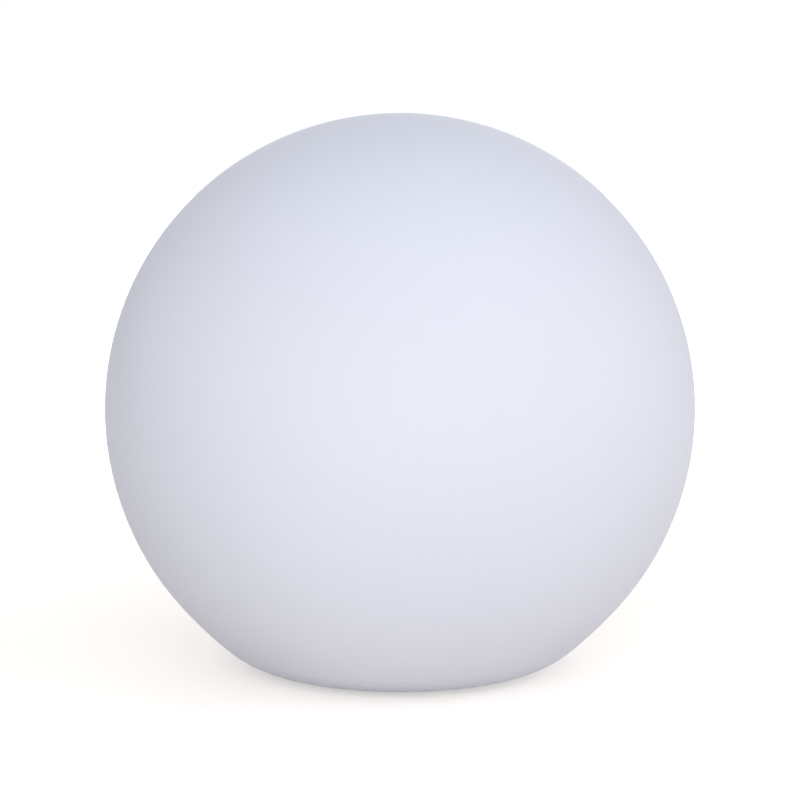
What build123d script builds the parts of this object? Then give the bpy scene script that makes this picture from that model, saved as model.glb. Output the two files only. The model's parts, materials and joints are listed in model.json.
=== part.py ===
from build123d import *

import os
from collections import namedtuple
from math import cos, hypot, radians, sin, sqrt

# Garden globe light: a rotationally moulded globe that stands on a flattened foot. A sealed,
# rechargeable light module sits in a recess under the globe, and a screw ring holds it there.
# Millimetres. Z points up, the ground is z = 0 and the globe's axis is the Z axis. Heights end
# in _z, and a pair named _at is a place in plan.

# ---- Driving dimensions ----

# Globe
globe_radius = 200.0
globe_wall = 4.0
shoulder_radius = 300.0  # flatter band between the sphere and the foot
shoulder_start = 41.0  # degrees below the globe's centre
shoulder_end = 49.0
foot_land = 9.0  # flat ring that the globe stands on
foot_lift = 2.0  # how far the rubber pads hold that ring off the ground
lip_inside = 1.0  # inner radius of the fold from the foot into the recess
recess_depth = 28.0
recess_root = 3.0  # radius in the corner of the recess
recess_room = 4.5  # from the collar's rim to the recess wall

# Rubber pads
pad_count = 6
pad_radius = 4.0
pad_height = 3.0

# Neck collar: the threaded ring screwed into the recess
collar_screw_count = 6
collar_flange = 3.5
collar_wall = 2.5
collar_depth = 17.0  # from the flange's underside up to the ledge
collar_rim = 4.5  # from the screw circle to the flange's edge
ledge = 3.0
ledge_gap = 1.5  # between the ledge and the module's can
barrel_gap = 0.5  # between the collar's barrel and the globe's opening
gasket = 1.5
insert_radius = 3.5
insert_length = 10.0
insert_wall = 2.0
insert_setback = 0.5  # from the opening's edge to the insert's boss

# Screw ring
ring_head = 5.7
ring_overhang = 5.0  # head beyond the threaded skirt
ring_gap = 0.5  # around the module's can
ring_top_gap = 0.3  # between the ring's head and the collar
ring_chamfer = 1.0
thread_room = 1.6  # radial space that both threads share
grip_count = 12
grip_radius = 6.0
grip_depth = 2.2

# Light module
can_wall = 2.5
module_flange = 3.5
flange_reach = 6.9
key_count = 3  # keys on the flange, in grooves down the collar, stop the module from turning
key_width = 5.0
key_reach = 2.2  # beyond the flange
key_gap = 0.3
key_angle = 90.0
module_seal_height = 1.5
roof = 2.5
roof_reach = 11.0  # how far the roof runs in from the can's wall
panel = 3.0
panel_inset = 1.5  # how far the panel sits up inside the ring
panel_seal_height = 1.5
panel_screw_count = 6
panel_screw_angle = 30.0
panel_boss = 3.2
panel_boss_height = 9.0
panel_boss_sink = 0.7  # how far each boss runs into the can's wall

# Battery: two standard cells side by side in a snap-in tray
cell_radius = 9.25
cell_length = 65.0
cell_spacing = 19.2
cell_room = 1.4  # from the cells' corners to the can's wall
cell_fit = 0.2
tray_post = 9.5
tray_post_radius = 3.0
tray_floor = 2.0
tray_side = 1.25
tray_end_gap = 1.8  # from the arms to the heads of the tray's screws
tray_rise = 4.0  # how far the snap arms reach above the cells' centres
tray_slot = 6.0  # finger gap between the cells
tray_window = 18.0  # gap between the two pairs of snap arms
tray_ear = 10.0
tray_screw_inset = 3.5  # from the cells' ends
tab = 0.3
tab_width = 7.0

# Control board, under the module's roof
board = 1.6
choke_radius = 4.0
choke_height = 5.0
choke_eye = 1.5  # hole down the choke's middle
choke_at = (-15.0, 8.0)
capacitor_radius = 3.2
capacitor_height = 7.0
capacitors_at = [(-14.0, -9.0), (-21.5, -4.0)]
controller = (7.0, 7.0, 1.0)  # each chip's length, width and height
controller_at = (-2.0, 15.0)
led_driver = (5.0, 4.0, 1.2)
led_driver_at = (-3.0, -16.0)
charger = (6.5, 6.0, 2.3)
charger_at = (18.0, 13.0)
board_margin = 2.5  # to the can's wall
board_room = 2.2  # above the cells
component_room = 8.0
board_screw_count = 3
board_screw_inset = 5.5  # from the board's edge
board_screw_angle = 90.0
board_boss = 3.0

# Light head, on top of the module's roof
led_plate = 2.0
led_plate_gap = 0.8
led_board = 1.6
led_board_margin = 2.7
led_size = 5.0
led_height = 1.5
led_outer_count = 16
led_inner_count = 8
led_inset = 9.0  # from the board's edge to the outer circle of emitters
led_circle_step = 10.5  # between the two circles
led_screw_inset = 3.0
led_screw_angle = 30.0
led_boss_height = 5.5
lead_hole = 3.5
lead_hole_at = (8.0, 0.0)
dome_wall = 2.0
dome_rim = 5.0
dome_curve = 50.0  # radius of the dome's cap
dome_seal_height = 1.0
receiver_radius = 2.5
receiver_height = 3.0

# Socket, lamp and button, in a row on the base panel
row_gap = 1.1  # from the battery's tray to the socket
row_room = 2.0  # from the row's posts to the can's wall
socket_x = -12.0
button_x = 11.2
row_board_height = 11.5  # above the panel
row_board_width = 7.0
row_board_corner = 3.0
row_board_end = 2.1  # beyond each post's centre
row_header_x = 1.5
row_resistor = (3.2, 1.6, 0.6)
row_resistor_x = -6.0
row_post = 2.0
socket_body = 5.6
socket_nose = 4.3
socket_bore = 3.2  # takes a 5.5 mm barrel plug
socket_pin = 1.05
socket_pin_setback = 1.0
socket_bore_depth = 9.0
socket_seal_height = 0.8
lamp_radius = 1.5
lamp_proud = 0.2
lamp_height = 1.0
lamp_length = 3.0
lamp_width = 2.0
lamp_rim = 0.7  # flange inside the panel
button_radius = 5.5
button_proud = 0.9
button_flange = 1.0  # beyond the cap
button_flange_height = 0.8
button_travel = 1.2
button_gap = 0.35
button_dish = 0.5
stem_radius = 1.6
boot_height = 1.0
boot_grip = 0.9  # how far the boot reaches over its seat
boot_rim = 0.8  # wall of the rim that the boot sits in
switch_size = 6.2
switch_height = 3.5
switch_stroke_room = 0.2

# Port cover: a soft flap with a plug, which folds down on its strap
cover_width = 11.0
cover_plate = 2.0
cover_reach = 8.0  # from the fold to the plug's centre
cover_tail = 5.5  # plate beyond the plug's centre
cover_well = 1.5
cover_gap = 0.6
cover_plug = 2.75
cover_plug_tip = 2.3
cover_plug_bore = 1.7
cover_plug_length = 2.0
cover_tab = 2.0  # lip to lift the flap by
cover_tab_depth = 0.8
anchor_length = 3.0
anchor_pin = 1.2
anchor_barb = 0.5

# Pressure vent
vent_radius = 4.5
vent_head = 0.8
vent_shank = 3.0
vent_barb = 0.6
vent_barb_height = 2.0
vent_hole = 1.0

# Leads
lead_radius = 0.7
lead_bend = 1.5
lead_pitch = 2.2
row_lead_count = 4
header_length = (row_lead_count + 1) * lead_pitch
header_height = 4.5
header_depth = 4.5
header_shift = 1.0  # how far the two headers stand out of line

# Fits
slip = 0.1  # a piece in its hole, not turning
screw_gap = 0.05
seal_edge = 0.2  # a seal's edges, in from the faces that squeeze it

# Screws: radius of the thread, radius of the head, height of the head
Screw = namedtuple("Screw", "thread head head_height")
m4_countersunk = Screw(thread=2.0, head=4.0, head_height=2.3)
m3_countersunk = Screw(thread=1.5, head=3.0, head_height=1.7)
m3_pan = Screw(thread=1.5, head=2.7, head_height=1.8)
m2_5_pan = Screw(thread=1.25, head=2.2, head_height=1.6)
collar_screw_length = 12.0
panel_screw_length = 10.0
small_screw_length = 6.0

# ---- Worked out from those: radii and places in plan, from the battery outwards ----

tray_length = cell_length - 2 * (tray_screw_inset + m2_5_pan.head + tray_end_gap)
tray_width = cell_spacing + 2 * (cell_radius + cell_fit + tray_side)
row_y = -(tray_width / 2 + row_gap + socket_body)
vent_at = (0.0, -row_y)
boot_seat_radius = button_radius + button_flange + button_gap + boot_grip
row_post_x = button_x + boot_seat_radius + boot_rim + row_post
battery_reach = hypot(cell_length / 2, cell_spacing / 2 + cell_radius) + cell_room
row_reach = hypot(row_post_x, row_y) + row_post + row_room
can_inside = max(battery_reach, row_reach)
can_radius = can_inside + can_wall
flange_radius = can_radius + flange_reach
ring_inside = can_radius + ring_gap
skirt_radius = flange_radius
collar_bore = skirt_radius + thread_room
barrel_radius = collar_bore + collar_wall
opening_radius = barrel_radius + barrel_gap
collar_screw_circle = opening_radius + insert_setback + insert_wall + insert_radius
collar_radius = collar_screw_circle + collar_rim
recess_radius = collar_radius + recess_room
recess_lip = globe_wall + lip_inside
foot_inside = recess_radius + recess_lip
foot_outside = foot_inside + foot_land
ring_radius = skirt_radius + ring_overhang
ledge_inside = can_radius + ledge_gap
panel_screw_circle = can_inside + panel_boss_sink - panel_boss
board_radius = can_inside - board_margin
board_screw_circle = board_radius - board_screw_inset
led_plate_radius = can_radius - dome_wall - led_plate_gap
led_board_radius = led_plate_radius - led_board_margin
led_screw_circle = led_board_radius - led_screw_inset
led_outer_circle = led_board_radius - led_inset
led_inner_circle = led_outer_circle - led_circle_step

# ---- Heights, from the ground up ----

foot_z = foot_lift
recess_z = foot_z + recess_depth
gasket_z = recess_z - gasket
collar_z = gasket_z - collar_flange
ledge_z = collar_z + collar_depth
module_seal_z = ledge_z - module_seal_height
flange_z = module_seal_z - module_flange
ring_top_z = flange_z
ring_head_top_z = collar_z - ring_top_gap
ring_z = ring_head_top_z - ring_head
panel_z = ring_z + panel_inset
panel_top_z = panel_z + panel
can_z = panel_top_z + panel_seal_height
tray_z = panel_top_z + tray_post
cell_z = tray_z + tray_floor + cell_fit + cell_radius
board_z = cell_z + cell_radius + board_room
board_top_z = board_z + board
roof_z = board_top_z + component_room
can_top_z = roof_z + roof
led_board_z = can_top_z + led_plate
led_z = led_board_z + led_board
dome_z = can_top_z + dome_seal_height
row_board_z = panel_top_z + row_board_height
row_board_top_z = row_board_z + board
switch_z = row_board_z - switch_height
well_z = panel_z + cover_well

# ---- The globe's outline: three arcs, each tangent to the next, about these centres ----


def on_arc(centre, radius, degrees_below):
    """Point in the half section at an angle below the horizontal, as (radius, height)."""
    angle = radians(degrees_below)
    return Vector(centre.X + radius * cos(angle), centre.Y - radius * sin(angle))


def arc_centres(globe_z):
    """Centres of the sphere, the shoulder and the foot, and the foot's radius."""
    sphere = Vector(0, globe_z)
    shoulder = on_arc(sphere, globe_radius - shoulder_radius, shoulder_start)
    foot_radius = shoulder_radius - (foot_outside - shoulder.X) / cos(radians(shoulder_end))
    foot = on_arc(shoulder, shoulder_radius - foot_radius, shoulder_end)
    return sphere, shoulder, foot, foot_radius


def globe_height():
    """Height of the sphere's centre, which sets the foot's flat ring at foot_z."""
    foot, foot_radius = arc_centres(0)[2:]
    return foot_z + foot_radius - foot.Y


# ---- Shapes that many pieces share ----


def tube(outer, inner, low, high):
    """Upright ring between two heights."""
    return extrude(Plane.XY.offset(low) * (Circle(outer) - Circle(inner)), high - low)


def rod(radius, low, high, at=(0, 0)):
    """Upright cylinder between two heights."""
    return extrude(Plane.XY.offset(low) * Pos(*at) * Circle(radius), high - low)


def block(length, width, low, high, at=(0, 0), corner=0.0):
    """Upright block between two heights, its upright corners rounded where a radius is given."""
    outline = RectangleRounded(length, width, corner) if corner else Rectangle(length, width)
    return extrude(Plane.XY.offset(low) * Pos(*at) * outline, high - low)


def turned(*points):
    """Solid turned about the Z axis from the corners (radius, height) of its half section."""
    return revolve(Plane.XZ * make_face(Polyline(*points, close=True)), Axis.Z)


def ring_of(shape, radius, count, start=0.0):
    """Copies of a shape, evenly spaced on a circle and turned with it."""
    return [place * shape for place in PolarLocations(radius, count, start)]


def countersunk(screw, length, gap=0.0):
    """Countersunk screw with the face of its head at z = 0 and its thread up, or its hole."""
    head, thread = screw.head + gap, screw.thread + gap
    return turned((0, 0), (head, 0), (thread, screw.head_height), (thread, length), (0, length))


def pan(screw, length):
    """Pan-head screw, seated at z = 0, with its thread up."""
    head, thread, top = screw.head, screw.thread, screw.head_height
    edge = head - top / 3
    return turned(
        (0, -top),
        (edge, -top),
        (head, -top / 2),
        (head, 0),
        (thread, 0),
        (thread, length),
        (0, length),
    )


def upside_down(shape):
    """The same shape with its top face down."""
    return Rot(180, 0, 0) * shape


# ---- Globe: shell, pads and the neck that takes the module ----

sphere_centre, shoulder_centre, foot_centre, foot_radius = arc_centres(globe_height())


def skin(inset):
    """One skin of the shell in half section, from the crown to the opening, set in by inset."""
    lip = Vector(foot_inside, foot_z + recess_lip)
    root = Vector(recess_radius - recess_root, recess_z - recess_root)
    floor = foot_z + inset
    wall = recess_radius + inset
    return [
        CenterArc(sphere_centre, globe_radius - inset, 90, -90 - shoulder_start),
        CenterArc(
            shoulder_centre, shoulder_radius - inset, -shoulder_start, shoulder_start - shoulder_end
        ),
        CenterArc(foot_centre, foot_radius - inset, -shoulder_end, shoulder_end - 90),
        Line((foot_outside, floor), (lip.X, floor)),
        CenterArc(lip, recess_lip - inset, 270, -90),
        Line((wall, lip.Y), (wall, root.Y)),
        CenterArc(root, recess_root + inset, 0, 90),
        Line((root.X, recess_z + inset), (opening_radius, recess_z + inset)),
    ]


def globe_shell():
    crown_z = sphere_centre.Y + globe_radius
    crown = Line((0, crown_z), (0, crown_z - globe_wall))
    edge = Line((opening_radius, recess_z), (opening_radius, recess_z + globe_wall))
    shell = revolve(Plane.XZ * make_face([*skin(0), *skin(globe_wall), crown, edge]), Axis.Z)
    boss_top_z = recess_z + insert_length + insert_wall
    boss = rod(insert_radius + insert_wall, recess_z + globe_wall / 2, boss_top_z)
    pocket = rod(insert_radius + screw_gap, recess_z, recess_z + insert_length)
    seat = rod(pad_radius + slip, foot_z, pad_height)
    shell += ring_of(boss, collar_screw_circle, collar_screw_count)
    shell -= ring_of(pocket, collar_screw_circle, collar_screw_count)
    return shell - ring_of(seat, foot_inside + foot_land / 2, pad_count)


def rubber_pads():
    chamfer = pad_height / 6
    pad = turned(
        (0, 0),
        (pad_radius - chamfer, 0),
        (pad_radius, chamfer),
        (pad_radius, pad_height),
        (0, pad_height),
    )
    return ring_of(pad, foot_inside + foot_land / 2, pad_count)


def threaded_inserts():
    insert = tube(
        insert_radius, m4_countersunk.thread + screw_gap, recess_z, recess_z + insert_length
    )
    return ring_of(insert, collar_screw_circle, collar_screw_count)


def collar_gasket():
    ring = tube(collar_radius - seal_edge, opening_radius + seal_edge, gasket_z, recess_z)
    hole = rod(m4_countersunk.thread + slip, gasket_z, recess_z)
    return ring - ring_of(hole, collar_screw_circle, collar_screw_count)


def at_keys(outer, width, low, high):
    """Upright blocks that reach out from under the flange's rim to a radius, one for each key."""
    inner = flange_radius - key_reach
    key = block(outer - inner, width, low, high, ((outer + inner) / 2, 0))
    return ring_of(key, 0, key_count, key_angle)


def neck_collar():
    """Threaded barrel on a flange, with a ledge for the module's seal and grooves for its keys."""
    flange_top_z = gasket_z
    ledge_top_z = ledge_z + ledge
    collar = turned(
        (collar_bore, collar_z),
        (collar_radius, collar_z),
        (collar_radius, flange_top_z),
        (barrel_radius, flange_top_z),
        (barrel_radius, ledge_top_z),
        (ledge_inside, ledge_top_z),
        (ledge_inside, ledge_z),
        (collar_bore, ledge_z),
    )
    groove_radius = flange_radius + key_reach + key_gap
    collar -= at_keys(groove_radius, key_width + 2 * key_gap, collar_z, ledge_z)
    hole = Pos(0, 0, collar_z) * countersunk(m4_countersunk, collar_flange, screw_gap)
    return collar - ring_of(hole, collar_screw_circle, collar_screw_count)


def collar_screws():
    screw = Pos(0, 0, collar_z) * countersunk(m4_countersunk, collar_screw_length)
    return ring_of(screw, collar_screw_circle, collar_screw_count)


# ---- Screw ring ----


def screw_ring():
    """Head with finger grips, under a skirt that carries the thread."""
    chamfer = ring_chamfer
    ring = turned(
        (ring_inside + chamfer, ring_z),
        (ring_radius - chamfer, ring_z),
        (ring_radius, ring_z + chamfer),
        (ring_radius, ring_head_top_z - chamfer),
        (ring_radius - chamfer, ring_head_top_z),
        (skirt_radius, ring_head_top_z),
        (skirt_radius, ring_top_z - chamfer),
        (skirt_radius - chamfer, ring_top_z),
        (ring_inside, ring_top_z),
        (ring_inside, ring_z + chamfer),
    )
    grip = rod(grip_radius, ring_z, ring_head_top_z)
    return ring - ring_of(grip, ring_radius + grip_radius - grip_depth, grip_count, 180 / grip_count)


# ---- Light module: can, base panel and their seals ----


def at_panel_screws(shape):
    return ring_of(shape, panel_screw_circle, panel_screw_count, panel_screw_angle)


def at_board_screws(shape):
    return ring_of(shape, board_screw_circle, board_screw_count, board_screw_angle)


def at_led_screws(shape):
    return ring_of(shape, led_screw_circle, board_screw_count, led_screw_angle)


def rim_outline():
    """Plan of the can's open end: its wall, and the bosses that the panel is screwed to."""
    bosses = at_panel_screws(Circle(panel_boss))
    holes = at_panel_screws(Circle(m3_countersunk.thread + screw_gap))
    wall = Circle(can_radius) - Circle(can_inside)
    return wall + bosses - holes


def module_can():
    can = extrude(Plane.XY.offset(can_z) * rim_outline(), panel_boss_height)
    can += turned(
        (can_inside, can_z + panel_boss_height),
        (can_radius, can_z + panel_boss_height),
        (can_radius, flange_z),
        (flange_radius, flange_z),
        (flange_radius, module_seal_z),
        (can_radius, module_seal_z),
        (can_radius, can_top_z),
        (can_inside - roof_reach, can_top_z),
        (can_inside - roof_reach, roof_z),
        (can_inside, roof_z),
    )
    can += at_keys(flange_radius + key_reach, key_width, flange_z, module_seal_z)
    board_post = tube(board_boss, m3_pan.thread + screw_gap, board_top_z, roof_z)
    led_post = rod(board_boss, roof_z - led_boss_height, roof_z)
    led_hole = rod(m3_pan.thread + screw_gap, roof_z - led_boss_height, can_top_z)
    can += at_board_screws(board_post)
    can += at_led_screws(led_post)
    return can - at_led_screws(led_hole)


def module_seal():
    return tube(
        flange_radius - seal_edge, ledge_inside + seal_edge, module_seal_z, ledge_z
    )


def base_panel():
    """Base panel with the openings for the row, and the posts that stand on it."""
    disc = rod(can_radius, panel_z, panel_top_z)
    disc = chamfer(disc.edges().sort_by(Axis.Z)[0], ring_chamfer / 2)
    screw_hole = Pos(0, 0, panel_z) * countersunk(m3_countersunk, panel, screw_gap)
    disc -= at_panel_screws(screw_hole)
    for x in (-row_post_x, row_post_x):
        disc += row_post_solid(x)
    for x in tray_screws_x():
        post = rod(tray_post_radius, panel_top_z, tray_z, (x, 0))
        disc += post - rod(m2_5_pan.thread + screw_gap, panel_top_z, tray_z, (x, 0))
    disc += Pos(button_x, row_y) * button_well()
    disc -= rod(button_radius + button_gap, panel_z, panel_top_z, (button_x, row_y))
    disc -= rod(socket_nose + slip, panel_z, panel_top_z, (socket_x, row_y))
    disc -= rod(lamp_radius + slip, panel_z, panel_top_z, (0, row_y))
    disc -= rod(vent_shank + slip, panel_z, panel_top_z, vent_at)
    return disc - cover_well_solid() - rod(anchor_pin + slip, well_z, panel_top_z, anchor_at())


def row_post_solid(x):
    post = rod(row_post, panel_top_z, row_board_z)
    post -= rod(m2_5_pan.thread + screw_gap, row_board_z - small_screw_length, row_board_z)
    return Pos(x, row_y) * post


def button_well():
    """Upright rim on the panel that guides the button's flange and holds its boot."""
    top_z = boot_z() + boot_height
    flange_room = button_radius + button_flange + button_gap
    rim = rod(boot_seat_radius + boot_rim, panel_top_z, top_z)
    return rim - rod(flange_room, panel_top_z, boot_z()) - rod(boot_seat_radius, boot_z(), top_z)


def tray_screws_x():
    """Where the battery tray stands on its two posts."""
    place = cell_length / 2 - tray_screw_inset
    return -place, place


def panel_seal():
    return extrude(Plane.XY.offset(panel_top_z) * rim_outline(), panel_seal_height)


def panel_screws():
    screw = Pos(0, 0, panel_z) * countersunk(m3_countersunk, panel_screw_length)
    return at_panel_screws(screw)


# ---- Battery ----


def cell_centres_y():
    return -cell_spacing / 2, cell_spacing / 2


def along_x(sketch, length):
    """A section drawn in Y and Z, drawn out along X about the middle."""
    return extrude(Plane.YZ.offset(-length / 2) * sketch, length)


def battery_tray():
    """Tray with two troughs, whose arms snap over the cells."""
    top_z = cell_z + tray_rise
    section = Pos(0, (tray_z + top_z) / 2) * Rectangle(tray_width, top_z - tray_z)
    for y in cell_centres_y():
        section -= Pos(y, cell_z) * Circle(cell_radius + cell_fit)
    slot_z = tray_z + 2 * tray_floor
    section -= Pos(0, (slot_z + top_z) / 2) * Rectangle(tray_slot, top_z - slot_z)
    tray = along_x(section, tray_length)
    tray -= block(tray_window, tray_width, slot_z, top_z)
    tray += block(cell_length, tray_ear, tray_z, tray_z + tray_floor, corner=tray_ear / 3)
    for x in tray_screws_x():
        tray -= rod(m2_5_pan.thread + screw_gap, tray_z, tray_z + tray_floor, (x, 0))
    return tray


def tray_screws():
    screw = Pos(0, 0, tray_z + tray_floor) * upside_down(pan(m2_5_pan, small_screw_length))
    return [Pos(x, 0) * screw for x in tray_screws_x()]


def battery_cells():
    cell = along_x(Circle(cell_radius), cell_length)
    return [Pos(0, y, cell_z) * cell for y in cell_centres_y()]


def battery_tabs():
    """Nickel strips: one joins the cells at one end, and each cell has its own at the other."""
    link = block(tab, cell_spacing + tab_width, cell_z - tab_width / 2, cell_z + tab_width / 2)
    single = block(tab, tab_width, cell_z - tab_width / 2, cell_z + tab_width / 2)
    end = (cell_length + tab) / 2
    return [Pos(-end, 0) * link] + [Pos(end, y) * single for y in cell_centres_y()]


# ---- Control board ----


def header_at():
    """Where the control board's header for the row hangs."""
    return 0.0, row_y - header_shift


def on_board(chip, low, at):
    """A chip on the face of a board."""
    length, width, height = chip
    return block(length, width, low, low + height, at)


def control_board():
    disc = rod(board_radius, board_z, board_top_z)
    hole = rod(m3_pan.thread + slip, board_z, board_top_z)
    return disc - at_board_screws(hole)


def board_components():
    """Choke, capacitors, chips and the two headers."""
    choke_top_z = board_top_z + choke_height
    choke = rod(choke_radius, board_top_z, choke_top_z, choke_at)
    choke -= rod(choke_eye, board_top_z + choke_height / 2, choke_top_z, choke_at)
    capacitor = rod(capacitor_radius, board_top_z, board_top_z + capacitor_height)
    places = {controller_at: controller, led_driver_at: led_driver, charger_at: charger}
    chips = [on_board(chip, board_top_z, at) for at, chip in places.items()]
    led_header = block(
        header_depth, 3 * lead_pitch, board_top_z, board_top_z + header_height, lead_hole_at
    )
    row_header = block(
        header_length, header_depth, board_z - header_height, board_z, header_at()
    )
    capacitors = [Pos(*at) * capacitor for at in capacitors_at]
    return [choke, *capacitors, *chips, led_header, row_header]


def board_screws():
    screw = Pos(0, 0, board_z) * pan(m3_pan, small_screw_length)
    return at_board_screws(screw)


# ---- Light head ----


def led_holes(low, high):
    """Holes for the light head's screws and its leads."""
    hole = rod(m3_pan.thread + slip, low, high)
    return [*at_led_screws(hole), rod(lead_hole, low, high, lead_hole_at)]


def led_plate_disc():
    disc = rod(led_plate_radius, can_top_z, led_board_z)
    return disc - led_holes(can_top_z, led_board_z)


def led_board_disc():
    return rod(led_board_radius, led_board_z, led_z) - led_holes(led_board_z, led_z)


def led_emitters():
    """Square emitters on two circles, the inner one turned by half a step."""
    emitter = block(led_size, led_size, led_z, led_z + led_height)
    outer = ring_of(emitter, led_outer_circle, led_outer_count)
    inner = ring_of(emitter, led_inner_circle, led_inner_count, 180 / led_inner_count)
    return outer + inner


def led_screws():
    screw = Pos(0, 0, led_z) * upside_down(pan(m3_pan, small_screw_length + led_plate))
    return at_led_screws(screw)


def ir_receiver():
    """Receiver for the remote control, under the middle of the dome."""
    body = rod(receiver_radius, led_z, led_z + receiver_height / 2)
    lens = Pos(0, 0, led_z + receiver_height / 2) * Sphere(receiver_height / 2)
    return body + lens


def dome_solid(radius, curve, low):
    """A cylinder closed by a spherical cap, whose edge is dome_rim above the dome's seat."""
    centre_z = dome_z + dome_rim - sqrt(dome_curve**2 - can_radius**2)
    return rod(radius, low, centre_z + curve) & Pos(0, 0, centre_z) * Sphere(curve)


def diffuser_dome():
    inside = dome_solid(can_radius - dome_wall, dome_curve - dome_wall, dome_z)
    return dome_solid(can_radius, dome_curve, dome_z) - inside


def dome_seal():
    return tube(can_radius - seal_edge, can_radius - dome_wall + seal_edge, can_top_z, dome_z)


# ---- Row on the base panel: socket, charge lamp and power button ----


def row_board():
    length = 2 * (row_post_x + row_board_end)
    plate = block(
        length, row_board_width, row_board_z, row_board_top_z, (0, row_y), row_board_corner
    )
    for x in (-row_post_x, row_post_x):
        plate -= rod(m2_5_pan.thread + slip, row_board_z, row_board_top_z, (x, row_y))
    return plate


def row_components():
    """Charge lamp under the board, and the header and a resistor on it."""
    lamp = block(lamp_length, lamp_width, row_board_z - lamp_height, row_board_z, (0, row_y))
    header = block(
        header_length,
        header_depth,
        row_board_top_z,
        row_board_top_z + header_height,
        (row_header_x, row_y),
    )
    resistor = on_board(row_resistor, row_board_top_z, (row_resistor_x, row_y))
    return [lamp, header, resistor]


def row_screws():
    screw = Pos(0, 0, row_board_top_z) * upside_down(pan(m2_5_pan, small_screw_length))
    return [Pos(x, row_y) * screw for x in (-row_post_x, row_post_x)]


def charging_socket():
    """Barrel socket: a nose through the panel, a body on its seal, and the pin in the bore."""
    body_z = panel_top_z + socket_seal_height
    body = rod(socket_nose, well_z, body_z) + rod(socket_body, body_z, row_board_z)
    bore_top_z = well_z + socket_bore_depth
    body -= rod(socket_bore, well_z, bore_top_z)
    body += rod(socket_pin, well_z + socket_pin_setback, bore_top_z)
    return Pos(socket_x, row_y) * body


def socket_seal():
    ring = tube(
        socket_body, socket_nose + slip, panel_top_z, panel_top_z + socket_seal_height
    )
    return Pos(socket_x, row_y) * ring


def charge_lamp():
    """Light pipe from the row's board through the panel."""
    pipe = rod(lamp_radius, panel_z - lamp_proud, row_board_z - lamp_height - slip)
    seat = rod(lamp_radius + lamp_rim, panel_top_z, panel_top_z + lamp_rim)
    return Pos(0, row_y) * (pipe + seat)


def boot_z():
    """Height of the button's rubber boot, clear of the button pressed home."""
    return panel_top_z + button_flange_height + button_travel + slip


def button_boot():
    stem_hole = stem_radius + button_gap
    ring = tube(boot_seat_radius - slip, stem_hole, boot_z(), boot_z() + boot_height)
    return Pos(button_x, row_y) * ring


def stem_top_z():
    """Where the button's stem meets the switch's plunger."""
    return switch_z - button_travel - switch_stroke_room


def power_button():
    """Dished cap in the panel, a flange that keeps it in, and the stem up to the switch."""
    face_z = panel_z - button_proud
    flange_top_z = panel_top_z + button_flange_height
    edge = button_proud / 2
    cap = turned(
        (0, face_z),
        (button_radius - edge, face_z),
        (button_radius, face_z + edge),
        (button_radius, panel_top_z),
        (button_radius + button_flange, panel_top_z),
        (button_radius + button_flange, flange_top_z),
        (stem_radius, flange_top_z),
        (stem_radius, stem_top_z()),
        (0, stem_top_z()),
    )
    rim = button_radius - 2 * edge
    dish_radius = (rim**2 + button_dish**2) / (2 * button_dish)
    cap -= Pos(0, 0, face_z + button_dish - dish_radius) * Sphere(dish_radius)
    return Pos(button_x, row_y) * cap


def switch_body():
    stem_room = stem_radius + button_gap
    body = block(switch_size, switch_size, switch_z, row_board_z, corner=0.5)
    bore_top_z = switch_z + button_travel + 2 * switch_stroke_room
    return Pos(button_x, row_y) * (body - rod(stem_room, switch_z, bore_top_z))


def switch_plunger():
    return rod(stem_radius, stem_top_z(), switch_z + switch_stroke_room, (button_x, row_y))


# ---- Port cover ----


def fold_y():
    """Line that the port cover folds about."""
    return row_y + cover_reach


def cover_well_solid():
    """Shallow well in the panel that the port cover and its anchor lie in."""
    width = cover_width + 2 * cover_gap
    length = cover_reach + cover_tail + anchor_length + 3 * cover_gap
    middle = (socket_x, row_y - cover_tail - cover_gap + length / 2)
    return block(width, length, panel_z, well_z, middle, corner=2.0)


def port_cover():
    """Flap with a hollow plug that fits over the socket's pin, and a tab to lift it by."""
    length = cover_reach + cover_tail
    middle_y = fold_y() - length / 2
    low_z = well_z - cover_plate
    plate = block(cover_width, length, low_z, well_z, (socket_x, middle_y), corner=1.5)
    tip_z = well_z + cover_plug_length
    plug = turned(
        (cover_plug_bore, well_z),
        (cover_plug, well_z),
        (cover_plug_tip, tip_z),
        (cover_plug_bore, tip_z),
    )
    tab_at = (socket_x, row_y - cover_tail + cover_tab / 2)
    lift = block(cover_width / 2, cover_tab, low_z - cover_tab_depth, low_z, tab_at, corner=0.8)
    return plate + Pos(socket_x, row_y) * plug + lift


def anchor_at():
    return socket_x, fold_y() + cover_gap + anchor_length / 2


def cover_anchor():
    """Fixed end of the cover's strap, held by a barbed pin through the panel."""
    foot = block(cover_width, anchor_length, panel_z, well_z, anchor_at(), corner=1.0)
    pin = rod(anchor_pin, well_z, panel_top_z, anchor_at())
    barb = rod(anchor_pin + anchor_barb, panel_top_z, panel_top_z + 2 * anchor_barb, anchor_at())
    return foot + pin + barb


# ---- Vent and leads ----


def vent_plug():
    """Snap-in vent that lets the module breathe without letting water in."""
    plug = turned(
        (vent_hole, panel_z - vent_head / 2),
        (vent_hole + vent_head / 2, panel_z - vent_head),
        (vent_radius - vent_head / 2, panel_z - vent_head),
        (vent_radius, panel_z),
        (vent_shank, panel_z),
        (vent_shank, panel_top_z),
        (vent_shank + vent_barb, panel_top_z),
        (vent_shank, panel_top_z + vent_barb_height),
        (vent_hole, panel_top_z + vent_barb_height),
    )
    return Pos(*vent_at) * plug


def lead(points):
    """Round lead along straight runs joined by arcs."""
    path = FilletPolyline(*points, radius=lead_bend)
    return sweep(Plane(origin=path @ 0, z_dir=path % 0) * Circle(lead_radius), path=path)


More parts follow.
